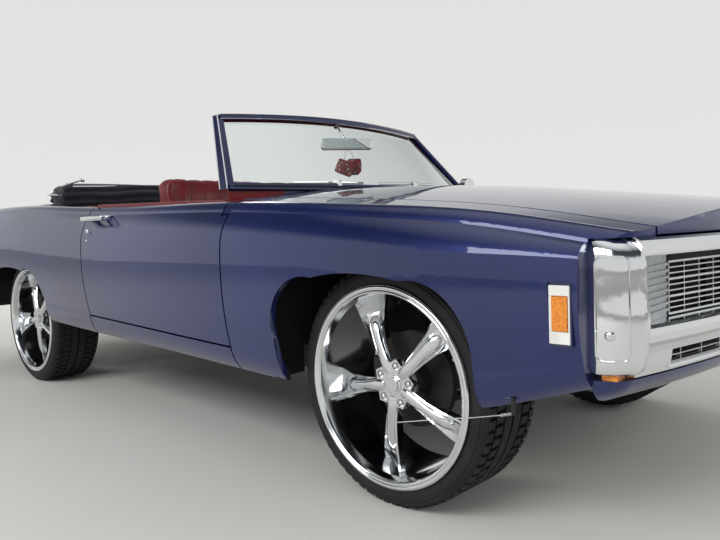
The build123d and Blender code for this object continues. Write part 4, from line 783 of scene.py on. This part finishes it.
class CONVERTIBLE_OT_screen(bpy.types.Operator):
    """Adds the windscreen's rubber, beads, cowl covers and wipers, pillar trim, mirror and hanging dice"""
    bl_idname = "convertible.screen"
    bl_label = "Windscreen fittings"

    def execute(self, context):
        sizes = context.scene.trim_sizes
        top = arc_points((0.7105, -0.664, 1.4060), (0.7855, 0.0, 1.4260), (0.7105, 0.664, 1.4060), 33)
        low = arc_points((0.9655, -0.800, 1.0790), (1.0900, 0.0, 1.0725), (0.9655, 0.800, 1.0790), 33)
        bm = bmesh.new()
        tube(bm, top, 0.005, 0.006, 8)
        tube(bm, low, 0.006, 0.008, 8)
        piece("screen_rubber", bm, "black_plastic", "chassis")
        bm = bmesh.new()
        for rise in (0.0100, -0.0100):
            line = arc_points((0.7155, -0.676, 1.402 + rise), (0.7905, 0.0, 1.422 + rise),
                              (0.7155, 0.676, 1.402 + rise), 41)
            tube(bm, line, 0.0075, 0.0055, 8)
        for s in (-1, 1):
            tube(bm, [(0.9575, s * 0.8255, 1.066), (0.7030, s * 0.6820, 1.411)], 0.0065, 0.0065, 8)
            tube(bm, [(0.9045, s * 0.8255, 1.066), (0.6650, s * 0.6820, 1.411)], 0.0065, 0.0065, 8)
        piece("screen_beads", bm, "chrome", "chassis")
        bm = bmesh.new()
        skirt = arc_points((0.943, -0.814, 1.036), (1.070, 0.0, 1.032), (0.943, 0.814, 1.036), 33)
        tube(bm, skirt, 0.008, 0.060, 8)
        for s in (-1, 1):
            # cover plates between cowl, door and wing, as x and y from and to; the top follows the crown
            for x0, x1, y0, y1 in ((0.965, 1.0940, 0.783, 0.8385), (1.0935, 1.172, 0.786, 0.912),
                                   (1.168, 1.2265, 0.795, 0.912)):
                for vert in side_block(bm, s, (x0, y0, -0.012), (x1, y1, 0.0)):
                    vert.co.z += 1.0175 - 0.105 * (abs(vert.co.y) - 0.786) - 0.04 * (vert.co.x - 1.0935)
            # and the rounded shoulder outside them, as a profile of (y, z) from the door's end to the wing
            shoulder = [(0.905, 0.966), (0.9400, 0.966), (0.9505, 0.9595), (0.9515, 0.9605), (0.945, 0.9678),
                        (0.9410, 0.9755), (0.935, 0.9868), (0.925, 0.9970), (0.915, 1.0030), (0.905, 1.0058)]
            end = bm.faces.new([bm.verts.new((1.0935, s * y, z)) for y, z in shoulder])
            pushed(bm, [end], (0.047, 0, 0))
        piece("screen_skirt", bm, "paint", "chassis")
        bm = bmesh.new()
        for pivot, tip_in, tip_out in (
                ((1.066, -0.30, 1.079), (1.035, -0.115, 1.094), (0.985, -0.500, 1.094)),
                ((1.078, 0.22, 1.079), (1.055, 0.400, 1.094), (1.062, -0.035, 1.094))):
            pivot = Vector(pivot)
            round_bar(bm, pivot, pivot + Vector((0, 0, 0.020)), 0.013, 20)
            knob(bm, pivot + Vector((0, 0, 0.020)), (0, 0, 1), 0.013, 0.006, 20)
            middle = Vector(tip_in).lerp(Vector(tip_out), 0.5)
            arm = [pivot + Vector((0, 0, 0.018)), pivot.lerp(middle, 0.45) + Vector((0, 0, 0.022)), middle]
            tube(bm, arm, 0.009, 0.006, 10)
            tube(bm, [tip_in, middle + Vector((0.006, 0, 0.002)), tip_out], 0.006, 0.011, 8)
        piece("wipers", bm, "chrome", "chassis")
        bm = bmesh.new()
        for s in (-1, 1):
            line = [(0.918, s * 0.792, 1.080), (0.800, s * 0.726, 1.232), (0.688, s * 0.660, 1.384)]
            tube(bm, resample(line, 8), 0.036, 0.016, 14)
        inner_top = arc_points((0.678, -0.650, 1.392), (0.752, 0.0, 1.411), (0.678, 0.650, 1.392), 25)
        tube(bm, inner_top, 0.020, 0.022, 12)
        piece("pillar_trim", bm, "red_hard", "chassis")
        self.mirror()
        bm = bmesh.new()
        edge = sizes.dice
        spots = [((0.812, 0.052, 1.196), (18, 12, 25)), ((0.842, -0.040, 1.186), (-14, 20, -12))]
        pips = bmesh.new()
        for at, turn in spots:
            place = Matrix.Translation(at)
            for axis, angle in zip("XYZ", turn):
                place = place @ Matrix.Rotation(math.radians(angle), 4, axis)
            made = bmesh.ops.create_cube(bm, size=edge, matrix=place)["verts"]
            rounded(bm, list({e for v in made for e in v.link_edges}), edge * 0.14, 4)
            self.dots(pips, place, edge)
        piece("hanging_dice", bm, "dice_red", "chassis")
        piece("dice_dots", pips, "white_enamel", "chassis")
        bm = bmesh.new()
        for at, _ in spots:
            tube(bm, [(0.815, 0.010, 1.284), (0.824, at[1] * 0.5 + 0.006, 1.262),
                      (at[0], at[1], at[2] + edge * 0.5)], 0.0028, segments=6)
        piece("dice_string", bm, "cord_white", "chassis")
        return {"FINISHED"}

    def mirror(self):
        """The inside mirror, turned towards the driver, on its stalk from the header."""
        turn = Matrix.Translation((0.812, 0.010, 1.307)) @ Matrix.Rotation(math.radians(-30), 4, "Z")
        bm = bmesh.new()
        block(bm, (-0.011, -0.134, -0.029), (0.009, 0.134, 0.029))
        upright = [e for e in bm.edges if abs(e.verts[0].co.x - e.verts[1].co.x) > 0.01]
        rounded(bm, upright, 0.020, 6)
        rims = [e for e in bm.edges if abs(e.verts[0].co.x - e.verts[1].co.x) < 1e-5]
        rounded(bm, rims, 0.004, 3)
        bmesh.ops.transform(bm, matrix=turn, verts=bm.verts)
        tube(bm, [(0.812, 0.008, 1.310), (0.790, 0.006, 1.350), (0.752, 0.0, 1.408)], 0.010, 0.010, 10)
        knob(bm, (0.756, 0.0, 1.402), (0.5, 0, -0.8), 0.018, 0.008, 20)
        shell = piece("inside_mirror_shell", bm, "chrome", "chassis")
        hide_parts("inside_mirror")
        bm = bmesh.new()
        block(bm, (-0.0125, -0.124, -0.0215), (-0.0105, 0.124, 0.0215), 0.0008, 1)
        block(bm, (0.0085, -0.122, -0.0195), (0.0100, 0.122, 0.0195), 0.0007, 1)
        bmesh.ops.transform(bm, matrix=turn, verts=bm.verts)
        piece("inside_mirror_glass", bm, "mirror_glass", "chassis")

    def dots(self, bm, place, edge):
        """Pips on the six faces of one die, opposite faces adding up to seven."""
        spread = edge * 0.25
        marks = {1: [(0, 0)], 2: [(-1, -1), (1, 1)], 3: [(-1, -1), (0, 0), (1, 1)]}
        marks[4] = marks[2] + [(-1, 1), (1, -1)]
        marks[5] = marks[4] + [(0, 0)]
        marks[6] = marks[4] + [(-1, 0), (1, 0)]
        faces = {1: (0, 0, 1), 6: (0, 0, -1), 2: (0, 1, 0), 5: (0, -1, 0), 3: (1, 0, 0), 4: (-1, 0, 0)}
        for count, out in faces.items():
            out = Vector(out)
            u = Vector((out.y, out.z, out.x))
            v = out.cross(u)
            for a, b in marks[count]:
                spot = out * edge * 0.497 + (u * a + v * b) * spread
                knob(bm, place @ spot, place.to_3x3() @ out, edge * 0.085, edge * 0.02, 12)


class CONVERTIBLE_OT_doors(bpy.types.Operator):
    """Adds door cards, armrests, handles, locks, window winders and rubber strips to both doors"""
    bl_idname = "convertible.doors"
    bl_label = "Door trim"

    def execute(self, context):
        for side, s in SIDES.items():
            body = "door_" + side
            bm = bmesh.new()
            for i in range(13):
                x0 = -0.090 + i * 0.086
                side_block(bm, s, (x0, 0.8405, 0.585), (x0 + 0.084, 0.8465, 0.930), 0.0025)
            side_block(bm, s, (-0.095, 0.8395, 0.935), (1.050, 0.8465, 1.000), 0.003)
            side_block(bm, s, (-0.095, 0.8395, 0.545), (1.050, 0.8465, 0.580), 0.003)
            side_block(bm, s, (0.100, 0.7835, 0.6965), (0.794, 0.8460, 0.7655), 0.012, 4)
            way = [(-0.105, s * 0.864, 1.0425), (0.300, s * 0.864, 1.0300), (0.700, s * 0.864, 1.0180),
                   (1.000, s * 0.862, 1.006)]
            tube(bm, resample(way, 14), 0.034, 0.026, 16)
            piece("door_card_" + side, bm, "red_vinyl", body)
            bm = bmesh.new()
            knob(bm, (-0.048, s * 0.9645, 0.922), (0, s, 0), 0.0125, 0.006)
            knob(bm, (-0.066, s * 0.9640, 0.876), (0, s, 0.1), 0.0060, 0.003, 16)
            side_block(bm, s, (-0.068, 0.9700, 0.9700), (0.156, 0.9885, 0.9935), 0.006, 4)
            for x in (-0.066, 0.124):
                side_block(bm, s, (x, 0.9150, 0.9690), (x + 0.030, 0.9800, 0.9945), 0.006, 3)
            round_bar(bm, (0.860, s * 0.8395, 0.700), (0.860, s * 0.8150, 0.700), 0.010, 16)
            crank = [(0.860, s * 0.8170, 0.700), (0.835, s * 0.8120, 0.668), (0.812, s * 0.8100, 0.628)]
            tube(bm, crank, 0.012, 0.007, 10)
            round_bar(bm, (0.812, s * 0.8140, 0.628), (0.812, s * 0.7860, 0.628), 0.011, 16)
            piece("door_fittings_" + side, bm, "chrome", body)
            bm = bmesh.new()
            side_block(bm, s, (-0.060, 0.8835, 0.990), (1.000, 0.8905, 1.012))
            piece("window_strip_" + side, bm, "black_plastic", body)
        return {"FINISHED"}


def merged_copy(node, name, narrow):
    """The CAD solid's own mesh with its triangles joined, made a little narrower across the car."""
    bm = bmesh.new()
    bm.from_mesh(NODES[node].data)
    bmesh.ops.remove_doubles(bm, verts=bm.verts, dist=1e-5)
    bmesh.ops.recalc_face_normals(bm, faces=bm.faces)
    bmesh.ops.scale(bm, vec=(1, narrow, 1), verts=bm.verts)
    mesh = bpy.data.meshes.new(name)
    bm.to_mesh(mesh)
    bm.free()
    obj = bpy.data.objects.new(name, mesh)
    bpy.context.scene.collection.objects.link(obj)
    return obj


def baked(obj):
    """Puts the result of an object's modifiers in its mesh and drops the modifiers."""
    graph = bpy.context.evaluated_depsgraph_get()
    mesh = bpy.data.meshes.new_from_object(obj.evaluated_get(graph), depsgraph=graph)
    obj.modifiers.clear()
    obj.data = mesh


def padded(node, name, finish, sizes, seams, narrow=1.0):
    """Makes a padded piece from a CAD solid: remeshed, swollen by cloth pressure, then sewn as a depth
    function says."""
    obj = merged_copy(node, name, narrow)
    skin = obj.modifiers.new("skin", "REMESH")
    skin.mode, skin.voxel_size, skin.use_smooth_shade = "VOXEL", sizes.voxel, True
    baked(obj)
    bm = bmesh.new()
    bm.from_mesh(obj.data)
    for _ in range(6):
        bmesh.ops.smooth_vert(bm, verts=bm.verts, factor=0.5, use_axis_x=True, use_axis_y=True,
                              use_axis_z=True)
    bm.to_mesh(obj.data)
    bm.free()
    start = [v.co.copy() for v in obj.data.vertices]
    soft = obj.modifiers.new("air", "CLOTH")
    soft.settings.use_pressure = True
    soft.settings.uniform_pressure_force = 4.0
    soft.settings.effector_weights.gravity = 0.0
    soft.settings.quality = 5
    for frame_number in range(1, 21):
        bpy.context.scene.frame_set(frame_number)
    baked(obj)
    bpy.context.scene.frame_set(1)
    normals = [n.vector.copy() for n in obj.data.vertex_normals]
    for vert, first, normal in zip(obj.data.vertices, start, normals):
        step = vert.co - first
        if step.length > sizes.puff:
            step *= sizes.puff / step.length
        vert.co = first + step - normal * seams(first)
    for polygon in obj.data.polygons:
        polygon.use_smooth = True
    obj.data.materials.clear()
    obj.data.materials.append(FINISH[finish])
    finer = obj.modifiers.new("finer", "SUBSURF")
    finer.levels = finer.render_levels = 1
    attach(obj, "chassis")
    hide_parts(node)


def groove(distance, width):
    """1 in the middle of a sewn groove, falling smoothly to 0 at its width."""
    return math.exp(-(distance / width) ** 2)


class CONVERTIBLE_OT_seats(bpy.types.Operator):
    """Makes the padded front and rear seats with sewn channels and a piped edge"""
    bl_idname = "convertible.seats"
    bl_label = "Seats"

    def execute(self, context):
        sizes = context.scene.pad_sizes
        pitch, depth = sizes.channel, sizes.pleat

        def channels(low, high, parting):
            """Depth of the sewing at a point: channels across the middle, a seam round it and the parting."""
            def at(p):
                across = abs(p.y)
                edge = 0.058
                out = 0.0
                if across < high - edge and p.z > low:
                    nearest = abs((p.y / pitch + 0.5) % 1.0 - 0.5) * pitch
                    out = depth * groove(nearest, 0.010)
                out = max(out, depth * 1.1 * groove(across - (high - edge), 0.009) if p.z > low else 0.0)
                if parting:
                    out = max(out, 0.022 * groove(across, 0.011))
                return out
            return at

        padded("front_seat", "front_seat_padded", "red_vinyl", sizes, channels(0.52, 0.65, True), narrow=0.87)
        padded("rear_seat", "rear_seat_padded", "red_vinyl", sizes, channels(0.50, 0.66, False))
        return {"FINISHED"}


class CONVERTIBLE_OT_folded_top(bpy.types.Operator):
    """Makes the folded cloth top with its pleats, and the bright bows that stand out of it"""
    bl_idname = "convertible.folded_top"
    bl_label = "Folded top"

    def execute(self, context):
        sizes = context.scene.pad_sizes

        def pleats(p):
            """Depth of the folds: long pleats across the car that wander a little."""
            line = p.z + 0.012 * math.sin(p.y * 5.0) + 0.006 * math.sin(p.y * 13.0 + 1.0) + 0.35 * (p.x + 0.9)
            return 0.014 * groove(abs((line / 0.048 + 0.5) % 1.0 - 0.5) * 0.048, 0.009)

        padded("folded_top", "folded_top_cloth", "top_fabric", sizes, pleats)
        bm = bmesh.new()
        bow = arc_points((-0.800, -0.700, 1.196), (-0.812, 0.0, 1.206), (-0.800, 0.700, 1.196), 33)
        tube(bm, bow, 0.016, 0.012, 10)
        for s in (-1, 1):
            for link in (
                    [(-1.020, s * 0.700, 1.203), (-0.900, s * 0.700, 1.212), (-0.650, s * 0.700, 1.227)],
                    [(-1.020, s * 0.755, 1.160), (-0.900, s * 0.762, 1.152), (-0.800, s * 0.760, 1.146)]):
                tube(bm, link, 0.018, 0.012, 10)
            for x, z in ((-0.985, 1.204), (-0.860, 1.212), (-0.665, 1.224)):
                round_bar(bm, (x, s * 0.688, z), (x, s * 0.712, z), 0.010, 20)
        piece("top_bows", bm, "chrome", "chassis")
        return {"FINISHED"}


class CONVERTIBLE_OT_cabin(bpy.types.Operator):
    """Adds the steering wheel, the gauges, bright strips and knobs of the dashboard"""
    bl_idname = "convertible.cabin"
    bl_label = "Cabin"

    def execute(self, context):
        self.wheel()
        gauges = ((0.500, 40), (0.420, 130), (0.330, 75), (0.250, 160))
        bm = bmesh.new()
        for y, _ in gauges:
            lathe(bm, [(0.027, 0.0), (0.027, 0.006), (0.031, 0.007), (0.033, 0.003), (0.033, 0.0)],
                  (GAUGE_X, y, GAUGE_Z), (-1, 0, 0), 32)
        block(bm, (0.8585, -0.700, 0.968), (0.8625, 0.160, 0.974))
        block(bm, (0.8585, -0.700, 0.892), (0.8625, 0.160, 0.898))
        for y in (0.045, 0.085):
            round_bar(bm, (0.8640, y, 0.930), (0.8440, y, 0.930), 0.010, 20)
        piece("dash_brightwork", bm, "chrome", "chassis")
        bm = bmesh.new()
        for y, _ in gauges:
            round_bar(bm, (GAUGE_X + 0.0002, y, GAUGE_Z), (GAUGE_X - 0.0012, y, GAUGE_Z), 0.0268, 32)
        block(bm, (0.8605, -0.100, 0.905), (0.8635, 0.020, 0.958))
        piece("gauge_faces", bm, "black_plastic", "chassis")
        bm = bmesh.new()
        for y, turn in gauges:
            a = math.radians(turn)
            tip = (GAUGE_X - 0.002, y + 0.022 * math.cos(a), GAUGE_Z + 0.022 * math.sin(a))
            tube(bm, [(GAUGE_X - 0.002, y, GAUGE_Z), tip], 0.0018, segments=6)
        piece("gauge_needles", bm, "white_enamel", "chassis")
        return {"FINISHED"}

    def wheel(self):
        """A thin steering wheel with three spokes."""
        place = stand(COLUMN_TOP, COLUMN_DIR)
        low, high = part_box("steering_wheel")
        middle = (Vector(low) + Vector(high)) / 2
        reach = 0.1945
        bm = bmesh.new()
        ring = [middle + place.to_3x3() @ Vector((math.cos(a), math.sin(a), 0)) * reach
                for a in (2 * math.pi * i / 72 for i in range(72))]
        tube(bm, ring, 0.024, 0.024, 14, closed=True)
        hub = COLUMN_TOP
        for a in (-14, 180 + 14, 90):
            a = math.radians(a)
            end = middle + place.to_3x3() @ Vector((math.cos(a), math.sin(a), 0)) * (reach - 0.004)
            tube(bm, [hub, hub.lerp(end, 0.45), end], 0.030, 0.012, 14)
        wheel = piece("steering_wheel_rim", bm, "red_hard", "steering_wheel")
        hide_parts("steering_wheel")


class CONVERTIBLE_OT_rear(bpy.types.Operator):
    """Adds the rear lamps' bezels and the panels that close the tail and the sides of the boot floor"""
    bl_idname = "convertible.rear"
    bl_label = "Rear trim"

    def execute(self, context):
        bm = bmesh.new()
        for s in (-1, 1):
            for i in range(3):
                y = s * (0.560 + i * 0.110)
                for a, b, c, d in ((-0.051, 0.7145, 0.051, 0.7215), (-0.051, 0.7985, 0.051, 0.8055),
                                   (-0.051, 0.7215, -0.044, 0.7985), (0.044, 0.7215, 0.051, 0.7985)):
                    block(bm, (-2.6635, y + a, b), (-2.6405, y + c, d), 0.0015, 1)
        piece("tail_lamp_bezels", bm, "chrome", "chassis")
        bm = bmesh.new()
        upright = Matrix(((0, 0, 1, TAIL_X), (2 * TAIL_HALF_Y, 0, 0, 0), (0, 1, 0, 0.5), (0, 0, 0, 1)))
        bmesh.ops.create_grid(bm, x_segments=32, y_segments=1, size=0.5, matrix=upright)
        # its top follows the deck's crown, just under the deck's skin
        for vert in bm.verts:
            vert.co.z = 1.006 if vert.co.z < 0.5 else 1.085 - 0.0878 * vert.co.y ** 2
        pushed(bm, list(bm.faces), (0.012, 0, 0))
        piece("tail_top_panel", bm, "paint", "chassis")
        bm = bmesh.new()
        for s in (-1, 1):
            for vert in side_block(bm, s, (-2.6165, 0.545, 0.640), (-1.7145, 0.92, 0.652)):
                # the outer edge follows the quarter's inner face
                if abs(vert.co.y) > 0.9:
                    vert.co.y = s * (0.9230 + 0.045 * (vert.co.x + 1.75))
        piece("boot_side_floor", bm, "paint", "chassis")
        return {"FINISHED"}


class CONVERTIBLE_OT_studio(bpy.types.Operator):
    """Sets up the pale floor, the soft lamps, the sky light and the camera"""
    bl_idname = "convertible.studio"
    bl_label = "Studio"

    def execute(self, context):
        sizes = context.scene.stage_sizes
        context.scene.view_settings.view_transform = "Standard"
        self.floor(sizes)
        self.world()
        for name, at, aim, width, height, watts in (
                ("key", (1.5, -7.5, 5.5), (0.8, 0, 0.6), 7.0, 3.0, sizes.key),
                ("fill", (8.0, 3.5, 4.0), (1.0, 0, 0.6), 5.0, 3.0, sizes.key * 0.45),
                ("back", (-7.5, 3.0, 4.5), (-0.5, 0, 0.6), 5.0, 3.0, sizes.key * 0.45)):
            lamp = bpy.data.objects.new(name, bpy.data.lights.new(name, "AREA"))
            lamp.data.shape = "RECTANGLE"
            lamp.data.size, lamp.data.size_y, lamp.data.energy = width, height, watts
            lamp.visible_glossy = name == "key"
            lamp.location = at
            lamp.rotation_euler = (Vector(aim) - Vector(at)).to_track_quat("-Z", "Y").to_euler()
            context.scene.collection.objects.link(lamp)
        self.camera(context)
        return {"FINISHED"}

    def floor(self, sizes):
        """A wide pale concrete floor."""
        bm = bmesh.new()
        bmesh.ops.create_circle(bm, cap_ends=True, segments=64, radius=sizes.reach)
        mesh = bpy.data.meshes.new("floor")
        bm.to_mesh(mesh)
        bm.free()
        mat, t, place = start_material("pale sealed floor")
        tone = add_node(t, NOISE, {"Scale": 1000 / 1400, "Detail": 4.0, "Roughness": 0.55}, {"Vector": place})
        colour = add_node(t, RAMP, links={"Fac": tone}, stops=[(0.3, "#d6d4cf"), (0.7, "#dad8d3")])
        rough = add_node(t, SPAN, {"To Min": 0.75, "To Max": 0.9}, {"Value": tone})
        close_material(mat, t, {"Specular IOR Level": 0.2}, {"Base Color": colour, "Roughness": rough})
        mesh.materials.append(mat)
        obj = bpy.data.objects.new("floor", mesh)
        bpy.context.scene.collection.objects.link(obj)

    def world(self):
        """Pale at eye level, dark grey higher up and a bright ceiling: metal gets its form from that."""
        world = bpy.data.worlds.new("soft studio")
        world.use_nodes = True
        t = world.node_tree
        t.nodes.clear()
        place = add_node(t, "ShaderNodeTexCoord", out="Generated")
        height = add_node(t, "ShaderNodeSeparateXYZ", links={"Vector": place}, out="Z")
        sky = add_node(t, RAMP, links={"Fac": height}, stops=[
            (0.0, "#e6e6e4"), (0.36, "#e0e1e1"), (0.48, "#4a4e55"), (0.70, "#3c4047"), (0.92, "#f0f1f2")])
        seen = add_node(t, "ShaderNodeBackground", links={"Color": sky})
        ambient = add_node(t, "ShaderNodeBackground", {"Color": linear("#d9dadb"), "Strength": 0.75})
        path = add_node(t, "ShaderNodeLightPath").node.outputs
        mirrored = add_node(t, MATH, links={0: path["Is Glossy Ray"], 1: path["Is Camera Ray"]},
                            settings={"operation": "MAXIMUM"})
        direct = add_node(t, MATH, links={0: mirrored, 1: path["Is Transmission Ray"]},
                          settings={"operation": "MAXIMUM"})
        last = add_node(t, "ShaderNodeMixShader", links={0: direct, 1: ambient, 2: seen})
        add_node(t, "ShaderNodeOutputWorld", links={"Surface": last})
        bpy.context.scene.world = world

    def camera(self, context):
        """The camera at the photograph's place."""
        cam = bpy.data.objects.new("camera", bpy.data.cameras.new("camera"))
        context.scene.collection.objects.link(cam)
        yaw, pitch, roll = (math.radians(a) for a in (CAMERA_YAW, CAMERA_PITCH, CAMERA_ROLL))
        ahead = Vector((math.sin(yaw) * math.cos(pitch), math.cos(yaw) * math.cos(pitch), math.sin(pitch)))
        right = Vector((math.cos(yaw), -math.sin(yaw), 0))
        up = right.cross(ahead)
        turned_right = right * math.cos(roll) + up * math.sin(roll)
        turned_up = up * math.cos(roll) - right * math.sin(roll)
        matrix = Matrix((turned_right, turned_up, -ahead)).transposed().to_4x4()
        matrix.translation = Vector(CAMERA_AT)
        cam.matrix_world = matrix
        cam.data.sensor_width = 36
        cam.data.lens = FOCAL_PX / PHOTO_W * 36
        cam.data.clip_start, cam.data.clip_end = 0.05, 200
        context.scene.camera = cam


OPERATORS = (CONVERTIBLE_OT_finishes, CONVERTIBLE_OT_tyres, CONVERTIBLE_OT_wheel_trim, CONVERTIBLE_OT_nose,
             CONVERTIBLE_OT_feeler, CONVERTIBLE_OT_screen, CONVERTIBLE_OT_doors, CONVERTIBLE_OT_cabin,
             CONVERTIBLE_OT_rear, CONVERTIBLE_OT_seats, CONVERTIBLE_OT_folded_top, CONVERTIBLE_OT_studio)
GROUPS = (("tyre_sizes", TyreSizes), ("trim_sizes", TrimSizes), ("pad_sizes", PadSizes),
          ("stage_sizes", StageSizes))


class CONVERTIBLE_PT_panel(bpy.types.Panel):
    """Lists the convertible's sizes and the steps that dress it"""
    bl_idname = "CONVERTIBLE_PT_panel"
    bl_label = "Convertible"
    bl_space_type = "VIEW_3D"
    bl_region_type = "UI"
    bl_category = "Convertible"

    def draw(self, context):
        for name, group in GROUPS:
            box = self.layout.box()
            for prop in group.bl_rna.properties:
                if prop.identifier not in ("rna_type", "name"):
                    box.prop(getattr(context.scene, name), prop.identifier)
        for step in OPERATORS:
            self.layout.operator(step.bl_idname)


def register():
    for name, group in GROUPS:
        bpy.utils.register_class(group)
        setattr(bpy.types.Scene, name, PointerProperty(type=group))
    for cls in (*OPERATORS, CONVERTIBLE_PT_panel):
        bpy.utils.register_class(cls)


def unregister():
    for cls in (CONVERTIBLE_PT_panel, *reversed(OPERATORS)):
        bpy.utils.unregister_class(cls)
    for name, group in GROUPS:
        delattr(bpy.types.Scene, name)
        bpy.utils.unregister_class(group)


def main():
    """Dresses the car step by step."""
    register()
    for step in OPERATORS:
        group, call = step.bl_idname.split(".")
        getattr(getattr(bpy.ops, group), call)()


if __name__ == "__main__":
    main()
